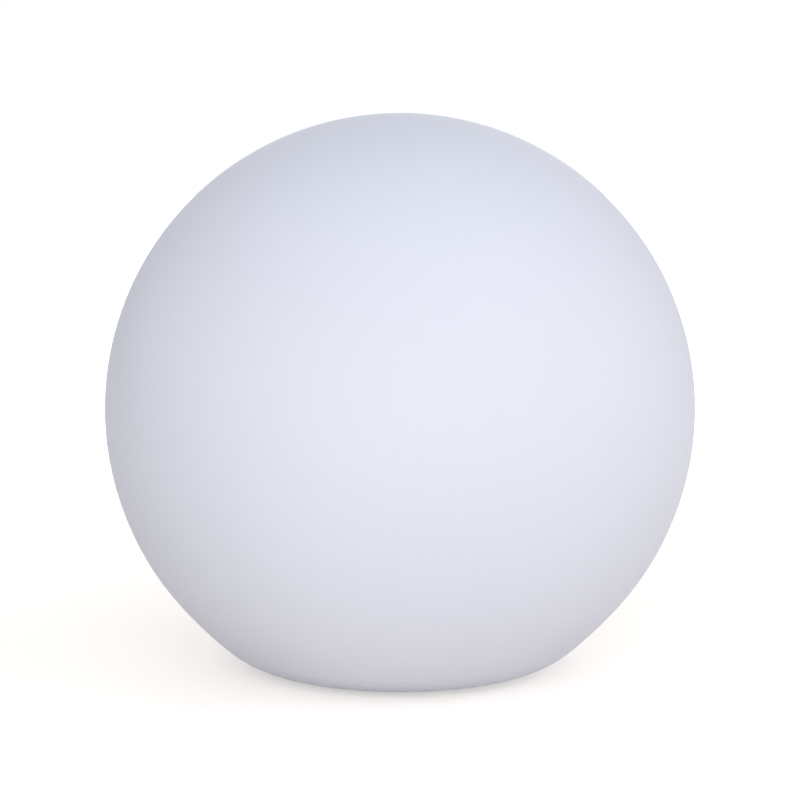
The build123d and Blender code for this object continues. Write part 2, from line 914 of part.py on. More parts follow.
def battery_lead(y):
    """From a cell's tab out and up to the control board."""
    start_x = cell_length / 2 + tab
    bend_x = start_x + 1.4 * lead_bend
    return lead([(start_x, y, cell_z), (bend_x, y, cell_z), (bend_x, y, board_z)])


def row_lead(place):
    """From the row's header up to the control board's, place counting along both headers."""
    start = Vector(row_header_x + place * lead_pitch, row_y, row_board_top_z + header_height)
    end = Vector(header_at()[0] + place * lead_pitch, header_at()[1], board_z - header_height)
    rise = Vector(0, 0, 2 * lead_bend)
    return lead([start, start + rise, end - rise, end])


def led_lead(place):
    """From the control board up through the light head, and over onto the LED board."""
    start = Vector(lead_hole_at[0], place * lead_pitch, board_top_z + header_height)
    top_z = led_z + 3 * lead_bend
    over = Vector(3.2 * lead_bend, 0, 0)
    above = Vector(start.X, start.Y, top_z)
    down = Vector(start.X, start.Y, led_z) + over
    return lead([start, above, above + over, down])


def positive_leads():
    return [battery_lead(cell_centres_y()[1]), row_lead(-1.5), led_lead(-0.5)]


def negative_leads():
    return [battery_lead(cell_centres_y()[0]), row_lead(-0.5), led_lead(0.5)]


def signal_leads():
    return [row_lead(0.5), row_lead(1.5)]


# ---- Every piece under its own name, one file each ----

pieces = {
    "globe_shell": globe_shell(),
    "rubber_pads": rubber_pads(),
    "threaded_inserts": threaded_inserts(),
    "collar_gasket": collar_gasket(),
    "neck_collar": neck_collar(),
    "collar_screws": collar_screws(),
    "screw_ring": screw_ring(),
    "module_can": module_can(),
    "module_seal": module_seal(),
    "base_panel": base_panel(),
    "panel_seal": panel_seal(),
    "panel_screws": panel_screws(),
    "battery_tray": battery_tray(),
    "tray_screws": tray_screws(),
    "battery_cells": battery_cells(),
    "battery_tabs": battery_tabs(),
    "control_board": control_board(),
    "board_components": board_components(),
    "board_screws": board_screws(),
    "led_plate": led_plate_disc(),
    "led_board": led_board_disc(),
    "led_emitters": led_emitters(),
    "led_screws": led_screws(),
    "ir_receiver": ir_receiver(),
    "diffuser_dome": diffuser_dome(),
    "dome_seal": dome_seal(),
    "row_board": row_board(),
    "row_components": row_components(),
    "row_screws": row_screws(),
    "charging_socket": charging_socket(),
    "socket_seal": socket_seal(),
    "charge_lamp": charge_lamp(),
    "button_boot": button_boot(),
    "power_button": power_button(),
    "switch_body": switch_body(),
    "switch_plunger": switch_plunger(),
    "port_cover": port_cover(),
    "cover_anchor": cover_anchor(),
    "vent_plug": vent_plug(),
    "positive_leads": positive_leads(),
    "negative_leads": negative_leads(),
    "signal_leads": signal_leads(),
}

os.makedirs("parts", exist_ok=True)
for name, shapes in pieces.items():
    if not isinstance(shapes, list):
        shapes = [shapes]
    solids = [solid for shape in shapes for solid in shape.solids()]
    export_step(Compound(solids), f"parts/{name}.step")
    print(name, len(solids), round(sum(solid.volume for solid in solids)))
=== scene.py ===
import json
from collections import namedtuple
from math import atan2, cos, pi, radians, sin, tau

import bmesh
import bpy
from mathutils import Matrix, Vector


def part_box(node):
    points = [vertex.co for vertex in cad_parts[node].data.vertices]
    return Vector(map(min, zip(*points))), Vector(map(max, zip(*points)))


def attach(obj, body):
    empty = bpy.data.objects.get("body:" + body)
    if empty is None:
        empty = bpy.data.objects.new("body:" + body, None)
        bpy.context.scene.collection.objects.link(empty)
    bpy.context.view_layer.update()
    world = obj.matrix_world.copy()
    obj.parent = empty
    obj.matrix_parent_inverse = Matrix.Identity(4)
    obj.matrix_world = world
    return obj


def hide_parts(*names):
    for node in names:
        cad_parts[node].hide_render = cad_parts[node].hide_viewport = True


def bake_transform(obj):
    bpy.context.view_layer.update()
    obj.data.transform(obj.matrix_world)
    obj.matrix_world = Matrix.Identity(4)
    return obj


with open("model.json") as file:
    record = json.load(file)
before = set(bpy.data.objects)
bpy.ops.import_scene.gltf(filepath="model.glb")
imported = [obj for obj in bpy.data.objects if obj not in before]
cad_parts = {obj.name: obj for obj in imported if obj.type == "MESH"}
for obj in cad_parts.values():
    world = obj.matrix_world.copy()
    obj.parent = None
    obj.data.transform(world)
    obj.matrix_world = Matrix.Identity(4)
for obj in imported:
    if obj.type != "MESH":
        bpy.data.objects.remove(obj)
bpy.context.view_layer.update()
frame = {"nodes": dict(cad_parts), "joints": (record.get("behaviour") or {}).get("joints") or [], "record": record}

# Garden globe light: the looks of a frosted globe on a flattened foot, and of the light module, the
# threaded neck and the electronics under it. Metres, in the model's own frame.
# Values in capitals are chosen here. Places and sizes in small letters come from the frame.

MM = 0.001
NODES = frame["nodes"]


# ---- Node trees ----


def operator(operation, swapped=False):
    """Method that adds a Math node for one of Python's operators."""

    def method(self, *others):
        values = (*others, self) if swapped else (self, *others)
        return self.sheet.maths(operation, *values)

    return method


class Socket:
    """An output in a node tree. Sums, products and comparisons of it add Math nodes."""

    def __init__(self, sheet, socket):
        self.sheet, self.socket = sheet, socket

    __add__ = __radd__ = operator("ADD")
    __mul__ = __rmul__ = operator("MULTIPLY")
    __sub__, __rsub__ = operator("SUBTRACT"), operator("SUBTRACT", swapped=True)
    __truediv__, __pow__ = operator("DIVIDE"), operator("POWER")
    __lt__, __gt__ = operator("LESS_THAN"), operator("GREATER_THAN")
    __abs__, floor, fraction = operator("ABSOLUTE"), operator("FLOOR"), operator("FRACT")

    def clamped(self):
        return self.sheet.node("ShaderNodeClamp", {}, {"Value": self})


class Sheet:
    """A node tree, and the one method that adds nodes to it."""

    def __init__(self, tree):
        self.tree = tree

    def node(self, kind, settings, inputs, output=0):
        """Adds a node, sets it up, fills its sockets and gives one of its outputs."""
        node = self.tree.nodes.new(kind)
        for name, value in settings.items():
            setattr(node, name, value)
        for key, value in inputs.items():
            self.fill(node.inputs[key], value)
        return Socket(self, node.outputs[output])

    def fill(self, socket, value):
        """Links a socket to another node's output, or gives it a fixed value."""
        if isinstance(value, Socket):
            self.tree.links.new(value.socket, socket)
        else:
            socket.default_value = value

    def maths(self, operation, *values):
        return self.node("ShaderNodeMath", {"operation": operation}, dict(enumerate(values)))

    def axes(self, vector):
        """The X, Y and Z of a vector."""
        return [self.node("ShaderNodeSeparateXYZ", {}, {"Vector": vector}, axis) for axis in "XYZ"]

    def vector(self, x, y, z):
        return self.node("ShaderNodeCombineXYZ", {}, {"X": x, "Y": y, "Z": z})

    def step(self, value, low, high):
        """Smooth change from 0 to 1 while a value goes from low to high."""
        settings = {"interpolation_type": "SMOOTHSTEP"}
        inputs = {"Value": value, "From Min": low, "From Max": high}
        return self.node("ShaderNodeMapRange", settings, inputs)

    def ray(self, kind):
        """1 for rays of one kind, such as "Is Camera Ray"."""
        return self.node("ShaderNodeLightPath", {}, {}, kind)


# ---- Finishes ----


def opaque(colour):
    return colour if isinstance(colour, Socket) else (*colour, 1)


class Finish(Sheet):
    """The nodes of one material, around its Principled shader."""

    def __init__(self, colour, roughness=0.5, **constants):
        self.material = bpy.data.materials.new("finish")
        self.material.use_nodes = True
        self.shader = self.material.node_tree.nodes["Principled BSDF"]
        super().__init__(self.material.node_tree)
        self.first_colour = self.colour = colour
        self.set(Base_Color=opaque(colour), Roughness=roughness, **constants)

    def set(self, **values):
        """Sets the shader's sockets, with _ for a space in their names."""
        for name, value in values.items():
            self.fill(self.shader.inputs[name.replace("_", " ")], value)

    def place(self, stretch=None):
        """Coordinates of the piece itself, in metres, stretched along each axis if asked."""
        place = self.node("ShaderNodeTexCoord", {}, {}, "Object")
        if stretch is None:
            return place
        return self.node("ShaderNodeVectorMath", {"operation": "MULTIPLY"}, {0: place, 1: stretch})

    def noise(self, size, detail=3.0, stretch=None):
        """Noise from 0 to 1, whose features have about this size in metres."""
        inputs = {"Vector": self.place(stretch), "Scale": 1 / size, "Detail": detail}
        return self.node("ShaderNodeTexNoise", {}, inputs)

    def scattered(self, spacing):
        """Distance to the nearest of scattered points, as a share of their spacing."""
        inputs = {"Vector": self.place(), "Scale": 1 / spacing}
        return self.node("ShaderNodeTexVoronoi", {}, inputs)

    def mix(self, factor, first, second):
        """Colour between two others."""
        inputs = {"Factor": factor, "A": opaque(first), "B": opaque(second)}
        return self.node("ShaderNodeMix", {"data_type": "RGBA"}, inputs, "Result")

    def tint(self, factor, colour):
        """Lays another colour over the base colour so far, where the factor is 1."""
        self.colour = self.mix(factor, self.colour, colour)
        self.set(Base_Color=self.colour)

    def shade(self, factor, amount):
        """Lays a lighter or darker shade of the first colour over the base colour."""
        self.tint(factor, tuple(min(1.0, channel * amount) for channel in self.first_colour))

    def bump(self, height, distance, strength=1.0):
        inputs = {"Strength": strength, "Distance": distance, "Height": height}
        self.set(Normal=self.node("ShaderNodeBump", {}, inputs))


def globe_plastic():
    """Natural white polyethylene as it leaves the mould: satin, with a fine, even grain."""
    natural, thick_wall, speck = (0.818, 0.838, 0.94), (0.80, 0.82, 0.925), (0.64, 0.65, 0.71)
    finish = Finish(natural, roughness=0.6, Specular_IOR_Level=0.3)
    grain, peel = finish.noise(0.5 * MM, detail=2), finish.noise(2.5 * MM)
    wave, thickness = finish.noise(70 * MM, detail=1), finish.noise(160 * MM)
    specks = 1 - finish.step(finish.scattered(9 * MM), 0.02, 0.035)
    finish.tint(finish.step(thickness, 0.3, 0.7) * 0.5, thick_wall)
    finish.tint(specks * 0.35, speck)
    finish.set(Roughness=0.57 + 0.06 * peel + 0.06 * grain)
    finish.bump(grain * 0.5 + peel * 0.7 + wave * 6.0 - specks * 0.4, 0.06 * MM, strength=0.7)
    return finish.material


def moulded(colour, roughness=0.5, grain=0.35 * MM, depth=0.03 * MM):
    """Injection-moulded plastic with an eroded texture, and faint flow lines in its colour."""
    finish = Finish(colour, roughness)
    eroded, flow = finish.noise(grain, detail=4), finish.noise(18 * MM, stretch=(1, 1, 0.4))
    rub = finish.step(finish.noise(6 * MM, detail=6), 0.52, 0.72)
    finish.shade(flow * 0.5, 0.93)
    finish.shade(rub * 0.25, 1.05)
    finish.set(Roughness=roughness - 0.06 + 0.12 * eroded - 0.05 * rub)
    finish.bump(eroded, depth)
    return finish.material


def rubber(colour):
    """Matt elastomer with dust in its pores."""
    finish = Finish(colour, roughness=0.85, Specular_IOR_Level=0.3)
    pores, dust = finish.noise(0.25 * MM, detail=4), finish.step(finish.noise(4 * MM), 0.45, 0.75)
    finish.shade(dust * pores * 0.5, 1.9)
    finish.set(Roughness=0.78 + 0.15 * pores)
    finish.bump(pores, 0.03 * MM)
    return finish.material


def silicone(colour):
    """Slightly cloudy seal, with a soft sheen."""
    finish = Finish(colour, roughness=0.55, Subsurface_Weight=0.3, Subsurface_Scale=1 * MM)
    cloud = finish.noise(5 * MM)
    finish.shade(cloud * 0.5, 0.85)
    finish.set(Roughness=0.45 + 0.2 * cloud)
    finish.bump(finish.noise(0.6 * MM), 0.02 * MM)
    return finish.material


def turned_metal(colour, roughness):
    """Metal with fine lathe lines, and a little tarnish."""
    finish = Finish(colour, roughness, Metallic=1.0)
    lines = finish.noise(0.12 * MM, detail=2, stretch=(0.12, 0.12, 1))
    tarnish = finish.step(finish.noise(1.6 * MM, detail=5), 0.5, 0.75)
    finish.shade(tarnish * 0.6, 0.72)
    finish.set(Roughness=roughness - 0.05 + 0.12 * lines + 0.15 * tarnish)
    finish.bump(lines, 0.01 * MM)
    return finish.material


def rolled_metal(colour, roughness):
    """Sheet with streaks along X from its rolling."""
    finish = Finish(colour, roughness, Metallic=1.0)
    streaks = finish.noise(0.3 * MM, detail=3, stretch=(0.03, 1, 1))
    finish.shade(streaks * 0.5, 0.8)
    finish.set(Roughness=roughness + 0.2 * streaks)
    finish.bump(streaks, 0.01 * MM)
    return finish.material


def board(mask, track, pad):
    """Solder mask over square-laid tracks, with plated pads where some of them end."""
    cell, half_track = 1.7 * MM, 0.11  # side of a square, and half a track as a share of it
    finish = Finish(mask, roughness=0.35, Coat_Weight=0.3)
    x, y, _ = (axis / cell for axis in finish.axes(finish.place()))
    _, _, rise = finish.axes(finish.node("ShaderNodeNewGeometry", {}, {}, "Normal"))
    face = abs(rise) > 0.7  # the board's edge has neither tracks nor pads
    corner = finish.vector(x.floor(), y.floor(), 0.0)
    pick = finish.node("ShaderNodeTexWhiteNoise", {}, {"Vector": corner})
    across, along = (abs(axis.fraction() - 0.5) for axis in (x, y))
    sideways = pick > 0.5
    lines = sideways * (along < half_track) + (1 - sideways) * (across < half_track)
    tracks = lines * (pick < 0.93) * face
    pads = (across ** 2 + along ** 2 < 0.05) * (pick > 0.9) * face
    finish.shade(finish.noise(9 * MM) * 0.4, 0.8)
    finish.tint(tracks * 0.8, track)
    finish.tint(pads, pad)
    finish.set(Roughness=0.32 + 0.1 * finish.noise(2 * MM), Metallic=pads * 0.9)
    finish.bump((tracks + pads).clamped(), 0.03 * MM)
    return finish.material


def wrapped_cell(colour):
    """Shrink sleeve over a cell: glossy, pulled in a little unevenly, with faint lines along it."""
    finish = Finish(colour, roughness=0.3, Coat_Weight=0.2)
    pull = finish.noise(7 * MM, stretch=(0.4, 1, 1))
    lines = finish.noise(0.4 * MM, stretch=(0.05, 1, 1))
    finish.shade(pull * 0.4, 0.75)
    finish.set(Roughness=0.26 + 0.14 * pull)
    finish.bump(pull * 3.0 + lines * 0.3, 0.05 * MM)
    return finish.material


def phosphor(pale, deep):
    """Yellow phosphor in silicone, a little grainy."""
    finish = Finish(pale, roughness=0.4, Subsurface_Weight=0.4, Subsurface_Scale=0.5 * MM)
    grains = finish.noise(0.15 * MM, detail=5)
    finish.tint(finish.step(grains, 0.4, 0.7) * 0.6, deep)
    finish.set(Roughness=0.3 + 0.2 * grains)
    finish.bump(grains, 0.01 * MM)
    return finish.material


def frosted(colour):
    """Diffusing plastic: pale, etched and slightly see-through."""
    finish = Finish(colour, roughness=0.55, Transmission_Weight=0.35, IOR=1.49)
    etch, cloud = finish.noise(0.2 * MM, detail=4), finish.noise(20 * MM)
    finish.shade(cloud * 0.4, 0.94)
    finish.set(Roughness=0.5 + 0.15 * etch)
    finish.bump(etch, 0.02 * MM)
    return finish.material


def clear(colour):
    """Clear moulded light pipe with a little haze."""
    finish = Finish(colour, roughness=0.08, Transmission_Weight=0.85, IOR=1.49)
    haze = finish.noise(1.2 * MM)
    finish.shade(haze * 0.3, 0.9)
    finish.set(Roughness=0.05 + 0.1 * haze)
    return finish.material


def insulation(colour):
    """Extruded insulation with faint draw marks."""
    finish = Finish(colour, roughness=0.35)
    marks = finish.noise(0.5 * MM, detail=2, stretch=(1, 1, 0.2))
    finish.shade(marks * 0.4, 0.8)
    finish.set(Roughness=0.3 + 0.15 * marks)
    finish.bump(marks, 0.01 * MM)
    return finish.material


FINISHES = {
    # slot of the record: its finish
    "globe_plastic": globe_plastic(),
    "pad_rubber": rubber((0.055, 0.055, 0.06)),
    "insert_brass": turned_metal((0.78, 0.58, 0.28), 0.3),
    "seal_silicone": silicone((0.42, 0.43, 0.44)),
    "collar_plastic": moulded((0.70, 0.72, 0.76)),
    "steel_screws": turned_metal((0.62, 0.61, 0.60), 0.28),
    "ring_plastic": moulded((0.66, 0.68, 0.72), grain=0.5 * MM, depth=0.04 * MM),
    "module_plastic": moulded((0.74, 0.76, 0.80)),
    "panel_plastic": moulded((0.72, 0.74, 0.78), grain=0.25 * MM),
    "tray_plastic": moulded((0.03, 0.03, 0.035), roughness=0.6),
    "cell_sleeve": wrapped_cell((0.03, 0.16, 0.36)),
    "nickel": rolled_metal((0.72, 0.70, 0.66), 0.25),
    "circuit_board": board((0.01, 0.10, 0.04), track=(0.02, 0.19, 0.07), pad=(0.75, 0.74, 0.70)),
    "white_board": board((0.78, 0.78, 0.76), track=(0.70, 0.70, 0.69), pad=(0.75, 0.66, 0.40)),
    "component_black": moulded((0.02, 0.02, 0.023), grain=0.15 * MM, depth=0.01 * MM),
    "plate_aluminium": rolled_metal((0.78, 0.79, 0.80), 0.3),
    "emitter": phosphor(pale=(0.92, 0.74, 0.26), deep=(0.86, 0.66, 0.20)),
    "receiver_black": moulded((0.02, 0.012, 0.022), roughness=0.2, depth=0.002 * MM),
    "dome_plastic": frosted((0.88, 0.89, 0.90)),
    "socket_plastic": moulded((0.02, 0.02, 0.02), roughness=0.35, depth=0.01 * MM),
    "clear_plastic": clear((0.88, 0.92, 0.93)),
    "button_rubber": rubber((0.075, 0.08, 0.085)),
    "cover_rubber": rubber((0.09, 0.095, 0.10)),
    "lead_red": insulation((0.50, 0.015, 0.012)),
    "lead_black": insulation((0.02, 0.02, 0.02)),
    "lead_white": insulation((0.78, 0.78, 0.76)),
}
for slot, material in FINISHES.items():
    material.name = slot + "_finish"


# ---- Mesh making ----


def linked(name, mesh):
    piece = bpy.data.objects.new(name, mesh)
    bpy.context.scene.collection.objects.link(piece)
    return piece


def solid(name, shape, sharp=35.0):
    """Object from a bmesh, smooth except along edges sharper than this many degrees."""
    bmesh.ops.remove_doubles(shape, verts=shape.verts, dist=0.0005 * MM)
    bmesh.ops.recalc_face_normals(shape, faces=shape.faces)
    mesh = bpy.data.meshes.new(name)
    shape.to_mesh(mesh)
    shape.free()
    mesh.shade_smooth()
    mesh.set_sharp_from_angle(angle=radians(sharp))
    return linked(name, mesh)


def loft(*rings):
    """Closed shape through rings of as many points each. A ring of one point closes an end."""
    shape = bmesh.new()
    sides = max(len(ring) for ring in rings)
    rows = [[shape.verts.new(point) for point in ring] for ring in rings]
    rows = [row * (sides // len(row)) for row in rows]
    for low, high in zip(rows, rows[1:]):
        for i in range(sides):
            corners = (low[i - 1], low[i], high[i], high[i - 1])
            shape.faces.new(dict.fromkeys(corners))
    for end in (rows[0], rows[-1]):
        if len(set(end)) > 1 and rings[0] != rings[-1]:
            shape.faces.new(end)
    return shape


def circle(radius, height, sides=48, at=(0.0, 0.0)):
    """Ring of points, or one point where the radius is 0."""
    turns = [tau * i / sides for i in range(sides)] if radius else [0.0]
    return [(at[0] + radius * cos(t), at[1] + radius * sin(t), height) for t in turns]


def turned(profile, sides=48, at=(0.0, 0.0)):
    """Shape from (radius, height) points turned about an upright line."""
    return loft(*(circle(radius, height, sides, at) for radius, height in profile))


def rectangle(length, width, height, corner=0.0, at=(0.0, 0.0), sides=32):
    """Ring of points round a rectangle with rounded corners."""
    ring = []
    per_corner = sides // 4
    for i in range(sides):
        quarter, step = divmod(i, per_corner)
        turn = (quarter + step / (per_corner - 1)) * pi / 2
        x = (1, -1, -1, 1)[quarter] * (length / 2 - corner) + corner * cos(turn)
        y = (1, 1, -1, -1)[quarter] * (width / 2 - corner) + corner * sin(turn)
        ring.append((at[0] + x, at[1] + y, height))
    return ring


def block(length, width, low, high, at=(0.0, 0.0), edge=0.15 * MM):
    """Moulded block whose corners and edges are rounded."""
    rings = []
    for height, inset in ((low, edge), (low + edge, 0.0), (high - edge, 0.0), (high, edge)):
        spans = length - 2 * inset, width - 2 * inset
        rings.append(rectangle(*spans, height, 2 * edge, at, sides=16))
    return loft(*rings)


def joined(*shapes):
    """One bmesh from several, whose shells stay separate."""
    whole, *others = shapes
    for other in others:
        mesh = bpy.data.meshes.new("part")
        other.to_mesh(mesh)
        other.free()
        whole.from_mesh(mesh)
        bpy.data.meshes.remove(mesh)
    return whole


def moved(shape, matrix):
    bmesh.ops.transform(shape, matrix=matrix, verts=shape.verts)
    return shape


def shape_of(piece):
    """Takes an object apart into a bmesh, as its modifiers leave it."""
    evaluated = piece.evaluated_get(bpy.context.evaluated_depsgraph_get())
    shape = bmesh.new()
    shape.from_mesh(bpy.data.meshes.new_from_object(evaluated))
    bpy.data.objects.remove(piece)
    return shape


def cut(piece, cutter):
    """What is left of a piece once another is cut out of it, as a bmesh."""
    modifier = piece.modifiers.new("cut", "BOOLEAN")
    modifier.object, modifier.operation, modifier.solver = cutter, "DIFFERENCE", "EXACT"
    shape = shape_of(piece)
    bpy.data.objects.remove(cutter)
    return shape


# ---- Geometry Nodes ----


class Recipe(Sheet):
    """A Geometry Nodes tree whose sizes are named inputs."""

    def __init__(self, name):
        super().__init__(bpy.data.node_groups.new(name, "GeometryNodeTree"))
        self.entry = self.tree.nodes.new("NodeGroupInput")

    def size(self, name, kind="Float"):
        """A named input of the tree."""
        self.tree.interface.new_socket(name, in_out="INPUT", socket_type="NodeSocket" + kind)
        return Socket(self, self.entry.outputs[name])

    def geometry(self, source):
        """The geometry of an object that is one of the inputs."""
        return self.node("GeometryNodeObjectInfo", {}, {"Object": source}, "Geometry")

    def swept(self, path, profile, scale=1.0):
        """A closed strip with one section along a path."""
        upright = self.node("GeometryNodeSetCurveNormal", {"mode": "Z_UP"}, {"Curve": path})
        inputs = {"Curve": upright, "Profile Curve": profile, "Scale": scale, "Fill Caps": True}
        return self.node("GeometryNodeCurveToMesh", {}, inputs)

    def raised(self, geometry, height):
        inputs = {"Geometry": geometry, "Translation": self.vector(0.0, 0.0, height)}
        return self.node("GeometryNodeTransform", {}, inputs)

    def end(self, geometry):
        """Closes the tree with real geometry that has its material."""
        material = self.size("material", "Material")
        real = self.node("GeometryNodeRealizeInstances", {}, {"Geometry": geometry})
        inputs = {"Geometry": real, "Material": material}
        painted = self.node("GeometryNodeSetMaterial", {}, inputs)
        self.tree.interface.new_socket("mesh", in_out="OUTPUT", socket_type="NodeSocketGeometry")
        self.fill(self.tree.nodes.new("NodeGroupOutput").inputs["mesh"], painted)
        return self

    def make(self, name, slot, **values):
        """Runs the tree with these values and a slot's finish. The result is a plain mesh."""
        values["material"] = FINISHES[slot]
        carrier = linked(name + "_carrier", bpy.data.meshes.new(name))
        modifier = carrier.modifiers.new("recipe", "NODES")
        modifier.node_group = self.tree
        for item in self.tree.interface.items_tree:
            if item.in_out == "INPUT" and item.name in values:
                modifier[item.identifier] = values[item.name]
        return painted(solid(name, shape_of(carrier)), slot)


def thread_recipe():
    """Ridge of a right-handed screw thread, which stops at grooves that cross it."""
    recipe = Recipe("thread")
    radius, pitch, turns = (recipe.size(name) for name in ("radius", "pitch", "turns"))
    low, height, foot, crest = (recipe.size(name) for name in ("low", "height", "foot", "crest"))
    grooves, groove_width = recipe.size("grooves"), recipe.size("groove_width")
    rise = pitch * turns
    coil = {"Resolution": recipe.size("steps", "Int"), "Rotations": turns, "Height": rise}
    coil |= {"Start Radius": radius, "End Radius": radius, "Reverse": True}
    spiral = recipe.node("GeometryNodeCurveSpiral", {}, coil)
    path = recipe.node("GeometryNodeCurveToMesh", {}, {"Curve": spiral})
    x, y, z = recipe.axes(recipe.node("GeometryNodeInputPosition", {}, {}))
    share = ((recipe.maths("ARCTAN2", y, x) / tau - 0.25) * grooves).fraction()
    in_groove = abs(share - 0.5) > 0.5 - grooves * groove_width / (2 * tau * radius)
    cut = {"Geometry": path, "Selection": in_groove}
    left = recipe.node("GeometryNodeDeleteGeometry", {"domain": "POINT"}, cut)
    runs = recipe.node("GeometryNodeMeshToCurve", {}, {"Mesh": left})
    to_end = recipe.maths("MINIMUM", z, rise - z)
    fade = (to_end / (pitch * 0.12)).clamped()  # the ridge thins out at both ends
    corners = ((0.0, foot / -2), (0.0, foot / 2), (height, crest / 2), (height, crest / -2))
    section = {f"Point {i + 1}": recipe.vector(*corner, 0.0) for i, corner in enumerate(corners)}
    profile = recipe.node("GeometryNodeCurvePrimitiveQuadrilateral", {"mode": "POINTS"}, section)
    return recipe.end(recipe.raised(recipe.swept(runs, profile, 0.15 + 0.85 * fade), low))


def copies_recipe():
    """Copies of a piece on points, each turned as its point says, and further by chance."""
    recipe = Recipe("copies")
    points, piece = recipe.size("points", "Object"), recipe.size("piece", "Object")
    over, spread, seed = recipe.size("over"), recipe.size("spread"), recipe.size("seed", "Int")
    spots = recipe.node("GeometryNodeMeshToPoints", {}, {"Mesh": recipe.geometry(points)})
    turn = recipe.node("GeometryNodeInputNamedAttribute", {"data_type": "FLOAT"}, {"Name": "turn"})
    limits = {"Min": -1.0, "Max": 1.0, "Seed": seed}
    chance = recipe.node("FunctionNodeRandomValue", {"data_type": "FLOAT"}, limits, "Value")
    angles = recipe.vector(over, 0.0, turn + chance * spread)
    rotation = recipe.node("FunctionNodeEulerToRotation", {}, {"Euler": angles})
    placed = {"Points": spots, "Instance": recipe.geometry(piece), "Rotation": rotation}
    return recipe.end(recipe.node("GeometryNodeInstanceOnPoints", {}, placed))


def mark_recipe():
    """Flat raised line along an arc."""
    recipe = Recipe("mark")
    radius, start, sweep = (recipe.size(name) for name in ("radius", "start", "sweep"))
    width, thickness, low = (recipe.size(name) for name in ("width", "thickness", "low"))
    arc = {"Resolution": 48, "Radius": radius, "Start Angle": start, "Sweep Angle": sweep}
    path = recipe.node("GeometryNodeCurveArc", {"mode": "RADIUS"}, arc)
    section = {"Width": width, "Height": thickness}
    profile = recipe.node("GeometryNodeCurvePrimitiveQuadrilateral", {"mode": "RECTANGLE"}, section)
    return recipe.end(recipe.raised(recipe.swept(path, profile), low))


THREADS = thread_recipe()
COPIES = copies_recipe()
MARKS = mark_recipe()


# ---- Places and sizes from the frame, and pieces put there ----


class Box(namedtuple("Box", "low high")):
    """Lowest and highest corners of a solid or a node."""

    @property
    def size(self):
        return self.high - self.low

    @property
    def middle(self):
        return (self.low + self.high) / 2

    @property
    def at(self):
        """Its middle in the plan."""
        return (self.low.x + self.high.x) / 2, (self.low.y + self.high.y) / 2


def box_of(node):
    return Box(*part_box(node))


def islands(shape):
    """Sets of the vertices of each loose part of a mesh."""
    left = set(shape.verts)
    while left:
        part, edge = set(), {left.pop()}
        while edge:
            part |= edge
            around = {e.other_vert(vert) for vert in edge for e in vert.link_edges}
            edge = around - part
        left -= part
        yield part


def parts_of(node):
    """The box of each solid of a CAD node, in a fixed order."""
    shape = bmesh.new()
    shape.from_mesh(NODES[node].data)
    bmesh.ops.remove_doubles(shape, verts=shape.verts, dist=0.001 * MM)
    boxes = []
    for part in islands(shape):
        axes = list(zip(*(vert.co for vert in part)))
        boxes.append(Box(Vector(map(min, axes)), Vector(map(max, axes))))
    shape.free()
    return sorted(boxes, key=lambda box: [round(axis, 5) for axis in (*box.low, *box.high)])


def spots_of(node):
    """Middle of each solid of a CAD node in the plan, with the turn that faces away from Z."""
    middles = [box.middle for box in parts_of(node)]
    return [(spot.x, spot.y, atan2(spot.y, spot.x)) for spot in middles]


def painted(piece, slot):
    """Gives a piece the finish of a slot."""
    piece.data.materials.clear()
    piece.data.materials.append(FINISHES[slot])
    return piece


def fitted(piece, body, slot, *replaced):
    """Gives a piece its finish and its body, and hides the CAD nodes that it stands for."""
    painted(piece, slot)
    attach(piece, body)
    if replaced:
        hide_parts(*replaced)


def in_module(name, shape, slot, *replaced):
    """Makes a piece from a bmesh and fits it to the light module."""
    fitted(solid(name, shape), "light_module", slot, *replaced)


def copied(name, piece, spots, height, body, slot, *replaced, over=0.0, spread=0.0):
    """Fits one mesh of copies of a piece, on (x, y, turn) spots at one height."""
    points = bpy.data.meshes.new(name + "_spots")
    points.from_pydata([(x, y, height) for x, y, turn in spots], [], [])
    turns = points.attributes.new("turn", "FLOAT", "POINT")
    turns.data.foreach_set("value", [turn for x, y, turn in spots])
    carrier = linked(name + "_spots", points)
    values = {"points": carrier, "piece": piece, "over": over, "spread": spread, "seed": 7}
    fitted(COPIES.make(name, slot, **values), body, slot, *replaced)
    bpy.data.objects.remove(carrier)
    bpy.data.objects.remove(piece)


for node in NODES.values():
    for slot in node.material_slots:
        slot.material = FINISHES[slot.material.name]


# ---- Threads of the ring and the collar ----

THREAD_LEAD = frame["record"]["behaviour"]["couplings"][0]["ratio"] * tau  # drop for each turn
THREAD_TURNS = 2.0
THREAD_ROOM = 1.6 * MM  # from the ring's skirt to the collar's bore
THREAD_HEIGHT = 0.95 * MM
THREAD_SINK = 0.2 * MM  # how far each ridge's foot is sunk in its wall
KEY_COUNT = 3.0
KEY_GROOVE = 6.6 * MM  # width of a groove down the collar, with a little room at its sides

skirt_radius = box_of("module_can").high.x  # the ring's skirt is as wide as the can's flange
thread_top = box_of("screw_ring").high.z - 1.0 * MM
thread = {
    "pitch": THREAD_LEAD,
    "turns": THREAD_TURNS,
    "steps": 160,
    "foot": 1.7 * MM,
    "crest": 0.7 * MM,
}
ring_thread = THREADS.make(
    "ring_thread",
    "ring_plastic",
    radius=skirt_radius - THREAD_SINK,
    height=THREAD_HEIGHT + THREAD_SINK,
    low=thread_top - THREAD_TURNS * THREAD_LEAD,
    **thread,
)
collar_thread = THREADS.make(
    "collar_thread",
    "collar_plastic",
    radius=skirt_radius + THREAD_ROOM + THREAD_SINK,
    height=-(THREAD_HEIGHT + THREAD_SINK),
    low=thread_top - (THREAD_TURNS - 0.5) * THREAD_LEAD,  # half a lead above the ring's ridge
    grooves=KEY_COUNT,
    groove_width=KEY_GROOVE,
    **thread,
)
fitted(ring_thread, "screw_ring", "ring_plastic")
